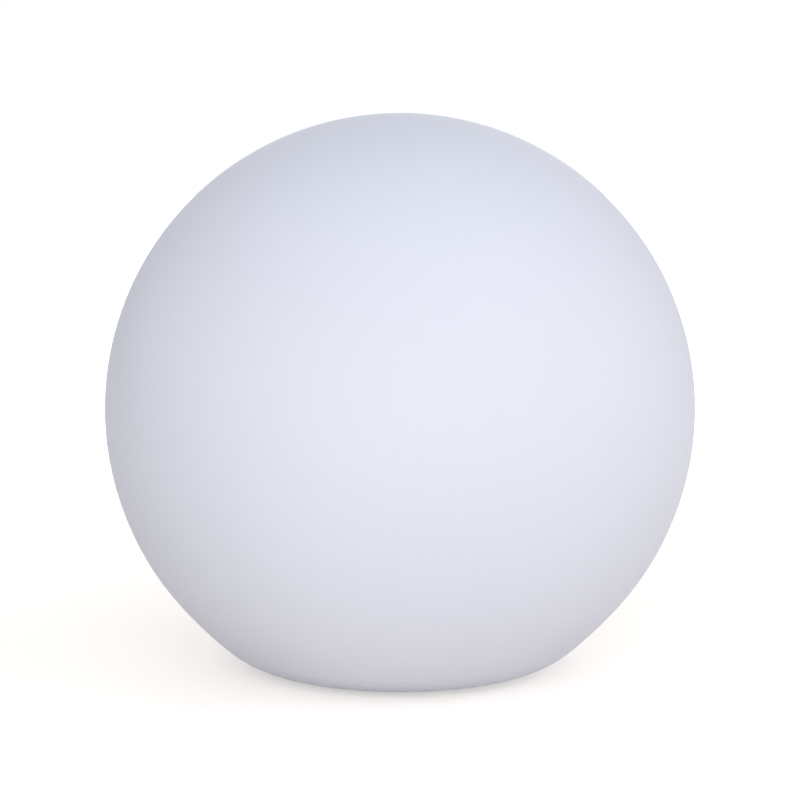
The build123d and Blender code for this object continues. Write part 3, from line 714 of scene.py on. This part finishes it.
fitted(collar_thread, "globe", "collar_plastic")


# ---- Screws ----

# In millimetres. A sunk head is countersunk, and the others are pan heads.
Screw = namedtuple("Screw", "head_radius head_height thread_radius length pitch sunk")
M4_SUNK = Screw(4.0, 2.3, 2.0, 12.0, 0.7, sunk=True)
M3_SUNK = Screw(3.0, 1.7, 1.5, 10.0, 0.5, sunk=True)
M3_PAN = Screw(2.7, 1.8, 1.5, 7.8, 0.5, sunk=False)
M3_PAN_LONG = M3_PAN._replace(length=9.8)
M2_5_PAN = Screw(2.2, 1.6, 1.25, 7.6, 0.45, sunk=False)

SCREWS = {
    # node: kind, body, whether the head is at the top
    "collar_screws": (M4_SUNK, "globe", False),
    "panel_screws": (M3_SUNK, "light_module", False),
    "board_screws": (M3_PAN, "light_module", False),
    "tray_screws": (M2_5_PAN, "light_module", True),
    "led_screws": (M3_PAN_LONG, "light_module", True),
    "row_screws": (M2_5_PAN, "light_module", True),
}


def cross_cutter(reach, half, depth):
    """Tapered cross that is sunk in a screw's head, whose face is at height 0."""
    outline = []
    for i in range(4):
        spin = Matrix.Rotation(i * pi / 2, 3, "Z")
        for x, y in ((reach, half), (half, half), (half, reach)):
            outline.append(spin @ Vector((x, y, 0)))
    levels = ((-0.2 * depth, 1.1), (depth, 0.55))
    return loft(*([(p.x * share, p.y * share, level) for p in outline] for level, share in levels))


def screw(kind):
    """Screw whose head is at height 0, with a cross recess, and whose thread goes up from it."""
    head, height, thread_radius, length, pitch = (size * MM for size in kind[:5])
    core, rim = 0.85 * thread_radius, 0.1 * height
    if kind.sunk:
        face = [(0, 0), (head - rim, 0), (head, rim), (head, 2 * rim), (thread_radius, height)]
    else:
        face = [(0, 0), (0.5 * head, 0.05 * height), (0.8 * head, 0.22 * height)]
        face += [(0.95 * head, 0.45 * height), (head, 0.7 * height), (head, height)]
    tip = length - 0.7 * core
    shank = [(thread_radius, height), (core, height + rim), (core, tip), (0.4 * core, length)]
    blank = solid("blank", turned([*face, *shank, (0, length)], sides=32))
    cutter = solid("cutter", cross_cutter(0.58 * head, 0.11 * head, 0.62 * height))
    ridge_radius = 0.97 * core
    ridge = THREADS.make(
        "ridge",
        "steel_screws",
        radius=ridge_radius,
        pitch=pitch,
        turns=(tip - height - rim) / pitch,
        low=height + rim,
        height=thread_radius - ridge_radius,
        foot=0.8 * pitch,
        crest=0.15 * pitch,
        steps=12,
    )
    return solid("screw", joined(cut(blank, cutter), shape_of(ridge)))


for node, (kind, body, head_up) in SCREWS.items():
    low, high = box_of(node)
    height, over = (high.z, pi) if head_up else (low.z, 0.0)
    place, turning = (spots_of(node), height), {"over": over, "spread": pi}
    copied(node + "_cut", screw(kind), *place, body, "steel_screws", node, **turning)


# ---- Inserts and pads ----

INSERT_RADIUS = 3.5 * MM
INSERT_BORE = 2.03 * MM
KNURLED = ((0.14, 0.46), (0.54, 0.86))  # low and high end of each band, as shares of the insert
PAD_RADIUS = 4.0 * MM
PAD_SEAT = 0.7 * MM  # bare side of a pad, up to where the foot holds it
PAD_GROOVES = (2.4 * MM, 1.2 * MM)
PAD_GROOVE_DEPTH = 0.35 * MM


def toothed(radius, depth, height, sides=48):
    """Ring of points whose radius goes in and out, as on a knurl."""
    ring = circle(radius, height, sides)
    inner = circle(radius - depth, height, sides)
    return [inner[i] if i % 2 else point for i, point in enumerate(ring)]


def knurled_insert(length):
    """Brass insert with two knurled bands, whose open end is at height 0."""
    radius, bore = INSERT_RADIUS, INSERT_BORE
    groove, tooth = 0.86 * radius, 0.1 * radius
    rings = [circle(bore, 0), circle(radius, 0), circle(radius, 0.1 * length)]
    for low, high in KNURLED:
        low, high = low * length, high * length
        rings += [circle(groove, low), toothed(radius, tooth, low)]
        rings += [toothed(radius, tooth, high), circle(groove, high)]
    return loft(*rings, circle(groove, length), circle(bore, length), circle(bore, 0))


def ringed_pad(top):
    """Round pad that stands on height 0, with ring grooves in its face."""
    side = [(0, top), (PAD_RADIUS, top), (PAD_RADIUS, PAD_SEAT)]
    side += [(PAD_RADIUS - 0.2 * MM, 0.2 * MM), (PAD_RADIUS - 0.7 * MM, 0)]
    for radius in PAD_GROOVES:
        side += [(radius + 0.2 * MM, 0), (radius + 0.1 * MM, PAD_GROOVE_DEPTH)]
        side += [(radius - 0.1 * MM, PAD_GROOVE_DEPTH), (radius - 0.2 * MM, 0)]
    return turned([*side, (0, 0)])


low, high = box_of("threaded_inserts")
insert = solid("insert", knurled_insert(high.z - low.z), sharp=20)
place = spots_of("threaded_inserts"), low.z
copied("knurled_inserts", insert, *place, "globe", "insert_brass", "threaded_inserts", spread=pi)

pad = solid("pad", ringed_pad(box_of("rubber_pads").high.z), sharp=50)
copied("ringed_pads", pad, spots_of("rubber_pads"), 0.0, "globe", "pad_rubber", "rubber_pads")


# ---- Light head ----

EMITTER_HALF = 2.5 * MM
EMITTER_ROUND = 0.2 * MM
# Radius and height of the lens over the cup, as shares of the emitter's half and its height.
LENS = [(0, 0.62), (0.7, 0.62), (0.76, 0.86), (0.5, 0.93), (0.25, 0.96), (0, 0.97)]


def emitter_frame(height):
    """White frame of an emitter, with a round cup in its top."""
    side, half = 2 * EMITTER_HALF, EMITTER_HALF
    top_side = side - EMITTER_ROUND
    rings = [rectangle(side, side, level, EMITTER_ROUND) for level in (0, 0.75 * height)]
    rings.append(rectangle(top_side, top_side, height, EMITTER_ROUND))
    cup = [circle(0.8 * half, height, 32), circle(0.68 * half, 0.6 * height, 32)]
    return loft(*rings, *cup, circle(0, 0.6 * height))


low, high = box_of("led_emitters")
height = high.z - low.z
place = spots_of("led_emitters"), low.z
emitter = solid("emitter", emitter_frame(height))
copied("emitter_frames", emitter, *place, "light_module", "white_board", "led_emitters")
lens = turned([(r * EMITTER_HALF, h * height) for r, h in LENS], sides=16)
copied("phosphor_lenses", solid("lens", lens, sharp=60), *place, "light_module", "emitter")


# ---- Battery ----

CRIMP_SETBACK = 3.6 * MM  # from the sleeve's end to the groove over the can's crimp
WELD_SUNK = 0.09 * MM  # how far a weld spot's foot is sunk in its tab
# In millimetres: radius and height along a weld spot, and how far each is from the cell's middle.
WELD = [(0.55, 0), (0.5, 0.1), (0.3, 0.04), (0, 0.02)]
WELD_PLACES = ((-1.2, -1.2), (1.2, -1.2), (-1.2, 1.2), (1.2, 1.2))


def along_x(profile, middle, sides=64):
    """Shape from (radius, position) points turned about a line along X."""
    turn = Matrix.Rotation(pi / 2, 4, "Y")
    return moved(turned(profile, sides), Matrix.Translation(middle) @ turn)


def cell_sleeve(radius, half):
    """Shrink sleeve of a cell, rolled over both ends, with the groove over the can's crimp."""
    lip, shoulder, groove = 0.8 * radius, radius - 0.5 * MM, half - CRIMP_SETBACK
    bend, wall = 0.6 * MM, 0.3 * MM
    profile = [(lip, -half), (shoulder, -half), (radius, bend - half)]
    for shift, depth in ((-1.2, 0), (-0.6, 0.35), (0, 0.5), (0.6, 0.35), (1.2, 0)):
        profile.append((radius - depth * MM, groove + shift * MM))
    profile += [(radius, half - bend), (shoulder, half), (lip, half)]
    return [*profile, (lip, half - wall), (lip, wall - half), profile[0]]


def cell_can(radius, half):
    """Steel can that shows at both of the sleeve's ends, with its raised contact."""
    face, contact = 0.81 * radius, 0.36 * radius
    shoulder, tip = half - 0.5 * MM, half - 0.05 * MM
    profile = [(0, -half), (face, -half), (face, shoulder), (contact, shoulder)]
    return [*profile, (contact - 0.3 * MM, tip), (0, tip)]


def weld_spots(tabs, cells):
    """Four spots on the tabs over both ends of each cell."""
    weld = turned([(radius * MM, height * MM) for radius, height in WELD], sides=12)
    for x, outward in ((tabs.low.x, -1), (tabs.high.x, 1)):
        turn = Matrix.Rotation(outward * pi / 2, 4, "Y")
        for cell in cells:
            end = Vector((x - outward * WELD_SUNK, cell.middle.y, cell.middle.z))
            for y, z in WELD_PLACES:
                place = Matrix.Translation(end + Vector((0, y, z)) * MM)
                yield moved(weld.copy(), place @ turn)
    weld.free()


cells = parts_of("battery_cells")
sleeves = [along_x(cell_sleeve(cell.size.z / 2, cell.size.x / 2), cell.middle) for cell in cells]
cans = [along_x(cell_can(cell.size.z / 2, cell.size.x / 2), cell.middle) for cell in cells]
welds = weld_spots(box_of("battery_tabs"), cells)
in_module("cell_sleeves", joined(*sleeves), "cell_sleeve", "battery_cells")
in_module("cell_cans", joined(*cans), "nickel")
in_module("tab_welds", joined(*welds), "nickel")


# ---- Boards ----

LEG_PITCH = 0.8 * MM
LEG_REACH = 0.7 * MM  # from a chip's body to the outer edge of its legs
LEG_HALF = 0.16 * MM
LEG_THICK = 0.12 * MM
# Line of a leg from the chip's body out to the board, as millimetres along and up.
LEG_LINE = ((-0.35, 0.55), (0.0, 0.5), (0.1, 0.1), (0.35, 0.1))
DIMPLE_SETBACK = 0.9 * MM
HEADER_STEP = 0.7 * MM  # how much smaller a plug is than its socket
LEAD_PITCH = 2.2 * MM
RIB_SIDE = 0.6 * MM
SMALL_EDGE = 0.05 * MM
WIRE = 0.34 * MM
# Turned parts: radius and height, as shares of the part's own.
CAPACITOR_FOOT = [(0, 0), (1, 0), (1, 0.1), (0.9, 0.16), (1, 0.22)]
CAPACITOR_TOP = [(1, 0.95), (0.93, 1), (0.84, 1), (0.84, 0.97), (0, 0.97)]
CAPACITOR_LID = [(0, 0.96), (0.83, 0.96), (0.83, 0.985), (0, 0.985)]
DRUM_CORE, DRUM_LOW, DRUM_HIGH = 0.6, 0.18, 0.82
DRUM = [(0, 0), (1, 0), (1, DRUM_LOW), (DRUM_CORE, DRUM_LOW), (DRUM_CORE, DRUM_HIGH)]
DRUM += [(1, DRUM_HIGH), (1, 1), (0.38, 1), (0.36, 0.5), (0, 0.5)]

board_top = box_of("control_board").high.z


def turned_in(box, profile):
    """Shape that fills a box, turned from points that are shares of its radius and height."""
    radius, height = box.size.x / 2, box.size.z
    return turned([(r * radius, box.low.z + h * height) for r, h in profile], at=box.at)


def chip_body(box):
    """Moulded chip with a waist where its two halves meet, and a dimple by its first leg."""
    length, width = box.size.x - 2 * LEG_REACH, box.size.y - 2 * LEG_REACH
    low, high, taper, corner = board_top, box.high.z, 0.12 * MM, 0.1 * MM
    x, y = box.at
    dimple = (x - length / 2 + DIMPLE_SETBACK, y + width / 2 - DIMPLE_SETBACK)
    rings = [
        rectangle(length - 2 * taper, width - 2 * taper, low, corner, box.at),
        rectangle(length, width, (low + high) / 2, corner, box.at),
        rectangle(length - 2 * taper, width - 2 * taper, high, corner, box.at),
        circle(0.3 * MM, high, 32, dimple),
        circle(0.25 * MM, high - 0.12 * MM, 32, dimple),
    ]
    return loft(*rings)


def leg():
    """Bent leg of a chip, from its body out to the board."""
    rings = []
    for x, z in LEG_LINE:
        x, low, high = x * MM, z * MM, z * MM + LEG_THICK
        corners = ((-LEG_HALF, low), (LEG_HALF, low), (LEG_HALF, high), (-LEG_HALF, high))
        rings.append([(x, y, height) for y, height in corners])
    return loft(*rings)


def leg_spots(box):
    """Spots of a chip's legs, each turned away from it. A square or thin chip has four rows."""
    length, width, height = box.size
    four_rows = length == width or height < 1.1 * MM
    for side in range(4) if four_rows else (1, 3):
        across, along = (width, length) if side % 2 else (length, width)
        spin = Matrix.Rotation(side * pi / 2, 3, "Z")
        count = int((along - 2.2 * MM) / LEG_PITCH) + 1
        for i in range(count):
            place = ((across - LEG_REACH) / 2, (i - (count - 1) / 2) * LEG_PITCH, 0)
            spot = spin @ Vector(place)
            yield box.at[0] + spot.x, box.at[1] + spot.y, side * pi / 2


def winding(box):
    """Turns of wire round a choke's drum."""
    radius, height, pitch = box.size.x / 2, box.size.z, 1.1 * WIRE
    wire_turns = THREADS.make(
        "winding_turns",
        "insert_brass",
        radius=DRUM_CORE * radius,
        pitch=pitch,
        turns=(DRUM_HIGH - DRUM_LOW) * height / pitch,
        low=box.low.z + DRUM_LOW * height,
        height=0.24 * radius,
        foot=WIRE,
        crest=0.5 * WIRE,
        steps=32,
    )
    return moved(shape_of(wire_turns), Matrix.Translation((*box.at, 0)))


def header(box, up):
    """Plug in its socket: two stepped blocks, with a rib for each lead."""
    length, width, _ = box.size
    x, y = box.at
    low, high = box.low.z, box.high.z
    split = low + (0.55 if up else 0.45) * (high - low)
    socket, plug = ((low, split), (split, high)) if up else ((split, high), (low, split))
    shapes = [block(length, width, *socket, box.at)]
    shapes.append(block(length - HEADER_STEP, width - HEADER_STEP, *plug, box.at))
    ways = 4 if length > width else 3
    for i in range(ways):
        along = (i - (ways - 1) / 2) * LEAD_PITCH
        if length > width:
            spot = (x + along, y - width / 2 + 0.2 * MM)
        else:
            spot = (x - length / 2 + 0.2 * MM, y + along)
        rib = plug[0] + 0.2 * MM, plug[1] - 0.4 * MM
        shapes.append(block(RIB_SIDE, RIB_SIDE, *rib, spot, edge=0.1 * MM))
    return joined(*shapes)


def kind_of(box):
    """Kind of a part on the control board, told by its place and size."""
    if box.low.z < board_top - 1 * MM:
        return "row_header"  # it hangs under the board
    if box.size.z < 2.5 * MM:
        return "chip"
    if box.size.x < 5 * MM:
        return "lead_header"
    return "capacitor" if box.size.z > 6 * MM else "choke"


parts = {}
for box in parts_of("board_components"):
    parts.setdefault(kind_of(box), []).append(box)
bodies = [chip_body(box) for box in parts["chip"]]
bodies += [turned_in(box, CAPACITOR_FOOT + CAPACITOR_TOP) for box in parts["capacitor"]]
bodies += [turned_in(box, DRUM) for box in parts["choke"]]
bodies += [header(box, up=False) for box in parts["row_header"]]
bodies += [header(box, up=True) for box in parts["lead_header"]]
lids = [turned_in(box, CAPACITOR_LID) for box in parts["capacitor"]]
windings = [winding(box) for box in parts["choke"]]
legs = [spot for box in parts["chip"] for spot in leg_spots(box)]
in_module("choke_winding", joined(*windings), "insert_brass")
in_module("board_parts", joined(*bodies), "component_black", "board_components")
in_module("capacitor_lids", joined(*lids), "plate_aluminium")
copied("chip_legs", solid("leg", leg()), legs, board_top, "light_module", "nickel")

row_bodies, row_ends = [], []
for box in parts_of("row_components"):
    length, width, height = box.size
    if height > 2 * MM:
        row_bodies.append(header(box, up=True))
        continue
    x, y = box.at
    levels = box.low.z, box.high.z
    row_bodies.append(block(0.62 * length, 0.96 * width, *levels, box.at, SMALL_EDGE))
    for end_x in (x - 0.4 * length, x + 0.4 * length):
        row_ends.append(block(0.2 * length, width, *levels, (end_x, y), SMALL_EDGE))
in_module("row_parts", joined(*row_bodies), "component_black", "row_components")
in_module("row_part_ends", joined(*row_ends), "nickel")


# ---- Row on the panel ----

PIN_RADIUS = 1.05 * MM
PIN_SKIN = 0.05 * MM  # plating, over the pin that the socket has already
PIN_FOOT_DEPTH = 4.0 * MM  # from the socket's back to the pin's foot
PIN_SETBACK = 1.0 * MM  # from the socket's mouth to the pin's tip
PLUNGER_HOLE = 1.75 * MM  # radius of the hole in the switch's plate
PLATE_PROUD, PLATE_SUNK = 0.12 * MM, 0.1 * MM
PLATE_CORNER = 0.4 * MM


def socket_pin(box):
    """Round contact in the middle of the charging socket, with a rounded tip."""
    foot, tip = box.high.z - PIN_FOOT_DEPTH, box.low.z + PIN_SETBACK
    side = PIN_RADIUS + PIN_SKIN
    profile = [(0, foot), (side, foot), (side, tip + 0.5 * MM), (0.8 * PIN_RADIUS, tip - 0.06 * MM)]
    profile += [(0.3 * PIN_RADIUS, tip - 0.1 * MM), (0, tip - 0.1 * MM)]
    return turned(profile, 32, box.at)


def switch_plate(box):
    """Sheet cover on the switch's face, with a hole for its plunger."""
    low, high = box.low.z - PLATE_PROUD, box.low.z + PLATE_SUNK
    side = box.size.x - 0.3 * MM
    hole = circle(PLUNGER_HOLE, high, 32, box.at)
    rings = [
        hole,
        rectangle(side, side, high, PLATE_CORNER, box.at),
        rectangle(side, side, low, PLATE_CORNER, box.at),
        circle(PLUNGER_HOLE, low, 32, box.at),
        hole,
    ]
    return loft(*rings)


in_module("socket_pin", socket_pin(box_of("charging_socket")), "nickel")
in_module("switch_plate", switch_plate(box_of("switch_body")), "nickel")


# ---- Port cover's hinge ----

STRAP_HALF = 0.3 * MM
STRAP_OVERLAP = 0.8 * MM  # on the cover and on its anchor
STRAP_INSET = 0.5 * MM  # from each side of the cover
STRAP_STEPS = 12
TAB_RIB_COUNT = 3
TAB_RIB_SPACING = 0.55 * MM
TAB_RIB_LENGTH, TAB_RIB_WIDTH = 4.6 * MM, 0.25 * MM
TAB_RIB_PROUD = 0.12 * MM
TAB_RIB_SETBACK = 0.45 * MM  # from the cover's free end to the first rib
RIB_SUNK = 0.2 * MM  # how far a rib's foot is sunk in its face


def hinge_strap(anchor, cover, fold_z):
    """Thin strap across the fold, thicker towards both ends."""
    start, end = anchor.low.y + STRAP_OVERLAP, cover.high.y - STRAP_OVERLAP
    half_width = cover.size.x / 2 - STRAP_INSET
    left, right = cover.at[0] - half_width, cover.at[0] + half_width
    rings = []
    for i in range(STRAP_STEPS + 1):
        share = i / STRAP_STEPS
        y = start + share * (end - start)
        half = STRAP_HALF * (1.0 + 1.2 * (2 * share - 1) ** 2)
        middle = fold_z + 1.5 * STRAP_HALF
        low, high = middle - half, middle + half
        rings.append([(left, y, low), (right, y, low), (right, y, high), (left, y, high)])
    return loft(*rings)


def tab_ribs(cover):
    """Ribs for a fingertip, across the cover's free end."""
    levels = cover.low.z - TAB_RIB_PROUD, cover.low.z + RIB_SUNK
    for i in range(TAB_RIB_COUNT):
        spot = (cover.at[0], cover.low.y + TAB_RIB_SETBACK + i * TAB_RIB_SPACING)
        yield block(TAB_RIB_LENGTH, TAB_RIB_WIDTH, *levels, spot, SMALL_EDGE)


joint_places = {joint["name"]: joint["pos_m"] for joint in frame["joints"] if "pos_m" in joint}
fold_z = joint_places["port_cover_open"][2]
cover, anchor = box_of("port_cover"), box_of("cover_anchor")
strap = painted(solid("cover_strap", hinge_strap(anchor, cover, fold_z)), "cover_rubber")
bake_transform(strap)
fitted(solid("tab_ribs", joined(*tab_ribs(cover))), "port_cover", "cover_rubber")


# ---- Marks ----

MARK_RADIUS = 46.6 * MM
MARK_WIDTH = 1.1 * MM
MARK_PROUD = 0.5 * MM  # and as deep in the ring's face
ARROW_SWEEP = radians(36)
ARROW_REACH = 4.2 * MM
ARROW_HALF = 2.1 * MM
ARROW_BEARINGS = (pi / 6, 5 * pi / 6, 3 * pi / 2)
SYMBOL_RISE = 0.42 * MM  # from the button's rim to the sign in its dish
SYMBOL_RADIUS = 1.9 * MM
SYMBOL_LINE = 0.5 * MM
SYMBOL_GAP = radians(64)
BAR_LENGTH = 1.9 * MM
BAR_MIDDLE = 1.7 * MM
VENT_RIB_COUNT = 10
VENT_RIB_MIDDLE = 2.9 * MM  # from the vent's own middle
VENT_RIB_LENGTH, VENT_RIB_WIDTH = 1.9 * MM, 0.45 * MM
VENT_RIB_PROUD = 0.15 * MM


def turn_arrow(level):
    """Curved arrow that points the way in which the ring comes off, with its point on X."""
    line = MARKS.make(
        "line",
        "ring_plastic",
        radius=MARK_RADIUS,
        start=0.0,
        sweep=ARROW_SWEEP,
        width=MARK_WIDTH,
        thickness=2 * MARK_PROUD,
        low=level,
    )
    inner, outer = MARK_RADIUS - ARROW_HALF, MARK_RADIUS + ARROW_HALF
    low, high = level - MARK_PROUD, level + MARK_PROUD
    corners = ((inner, 0), (outer, 0), (MARK_RADIUS, -ARROW_REACH))
    point = loft(*([(x, y, height) for x, y in corners] for height in (low, high)))
    return solid("arrow", joined(shape_of(line), point))


def power_sign(button):
    """Broken circle with a bar in its gap, in the button's dish."""
    level = button.low.z + SYMBOL_RISE
    arc = MARKS.make(
        "power_arc",
        "button_rubber",
        radius=SYMBOL_RADIUS,
        start=(pi + SYMBOL_GAP) / 2,
        sweep=tau - SYMBOL_GAP,
        width=SYMBOL_LINE,
        thickness=SYMBOL_LINE,
        low=level,
    )
    levels = level - SYMBOL_LINE / 2, level + SYMBOL_LINE / 2
    bar = block(SYMBOL_LINE, BAR_LENGTH, *levels, (0, BAR_MIDDLE), SMALL_EDGE)
    return moved(joined(shape_of(arc), bar), Matrix.Translation((*button.at, 0)))


arrow = turn_arrow(box_of("screw_ring").low.z)
turns = [(0.0, 0.0, bearing - ARROW_SWEEP / 2) for bearing in ARROW_BEARINGS]
copied("turn_arrows", arrow, turns, 0.0, "screw_ring", "ring_plastic")

symbol = solid("power_symbol", power_sign(box_of("power_button")))
fitted(symbol, "power_button", "button_rubber")

vent = box_of("vent_plug")
levels = vent.low.z - VENT_RIB_PROUD, vent.low.z + RIB_SUNK
rib = block(VENT_RIB_LENGTH, VENT_RIB_WIDTH, *levels, (VENT_RIB_MIDDLE, 0), edge=0.08 * MM)
turns = [(*vent.at, i * tau / VENT_RIB_COUNT) for i in range(VENT_RIB_COUNT)]
copied("vent_ribs", solid("rib", rib), turns, 0.0, "light_module", "socket_plastic")


# ---- Studio ----

GLOBE_RADIUS = 200 * MM
CAMERA_DISTANCE = 8 * GLOBE_RADIUS
CAMERA_ELEVATION = 7.5
CAMERA_LENS, CAMERA_SENSOR = 105.5, 36  # mm
CAMERA_SHIFT = 8.3 / 800
WORLD_STRENGTH = 0.41
FLOOR_HALF = 8.0
FLOOR_GLOW = 0.46  # what the floor adds to the lamps' light by the globe, where it is looked at
FLOOR_GLOW_FAR = 1.06  # and far from it, where its shadow ends
LIGHT_DISTANCE = 3.0
LIGHT_SIZE = 2.4
LIGHTS = {
    # name: azimuth and elevation in degrees, watts, colour
    "key": (0, 10, 50, (1, 1, 1)),
    "right_fill": (90, 10, 21, (1, 1, 1)),
    "top_fill": (0, 75, 12, (0.72, 0.86, 1.0)),
    "back_fill": (180, 15, 14, (1, 1, 1)),
}

globe_centre = Vector((0, 0, box_of("globe_shell").high.z - GLOBE_RADIUS))


def aim(thing, azimuth, elevation, distance):
    """Puts a lamp or camera on a bearing from the globe, in degrees, and turns it to face it."""
    turn, rise = radians(azimuth), radians(elevation)
    away = Vector((sin(turn) * cos(rise), -cos(turn) * cos(rise), sin(rise)))
    thing.location = globe_centre + distance * away
    thing.rotation_euler = (-away).to_track_quat("-Z", "Y").to_euler()
    bpy.context.scene.collection.objects.link(thing)


def make_camera():
    data = bpy.data.cameras.new("camera")
    data.lens, data.sensor_width, data.shift_y = CAMERA_LENS, CAMERA_SENSOR, CAMERA_SHIFT
    camera = bpy.data.objects.new("camera", data)
    aim(camera, 0, CAMERA_ELEVATION, CAMERA_DISTANCE)
    bpy.context.scene.camera = camera


def make_light(name, azimuth, elevation, watts, colour):
    """Soft square lamp."""
    data = bpy.data.lights.new(name, "AREA")
    data.size, data.energy, data.color = LIGHT_SIZE, watts, colour
    aim(bpy.data.objects.new(name, data), azimuth, elevation, LIGHT_DISTANCE)


def seen_directly(sheet):
    """1 where a camera, glossy or transmission ray meets the surface or the world."""
    kinds = ("Is Camera Ray", "Is Glossy Ray", "Is Transmission Ray")
    camera, glossy, through = (sheet.ray(kind) for kind in kinds)
    return (camera + glossy + through).clamped()


def make_world():
    """Even grey light on the object, and plain white where it is looked at."""
    world = bpy.data.worlds.new("world")
    world.use_nodes = True
    bpy.context.scene.world = world
    sheet = Sheet(world.node_tree)
    background = world.node_tree.nodes["Background"]
    sheet.fill(background.inputs["Color"], (1, 1, 1, 1))
    strength = WORLD_STRENGTH + (1 - WORLD_STRENGTH) * seen_directly(sheet)
    sheet.fill(background.inputs["Strength"], strength)


def make_floor():
    """White floor that keeps the globe's shadow and runs out into the white background."""
    corners = [(x * FLOOR_HALF, y * FLOOR_HALF, 0) for x, y in ((-1, -1), (1, -1), (1, 1), (-1, 1))]
    mesh = bpy.data.meshes.new("floor")
    mesh.from_pydata(corners, [], [(0, 1, 2, 3)])
    floor = linked("floor", mesh)
    finish = Finish((0.85, 0.80, 0.75), roughness=0.9, Emission_Strength=1.0)
    place = {0: finish.place()}
    distance = finish.node("ShaderNodeVectorMath", {"operation": "LENGTH"}, place, "Value")
    far = finish.step(distance, 1.6 * GLOBE_RADIUS, 4 * GLOBE_RADIUS)
    glow = FLOOR_GLOW + far * (FLOOR_GLOW_FAR - FLOOR_GLOW)
    finish.set(Emission_Color=seen_directly(finish) * glow)
    mesh.materials.append(finish.material)


make_camera()
make_world()
make_floor()
for name, light in LIGHTS.items():
    make_light(name, *light)
bpy.context.scene.view_settings.view_transform = "Standard"
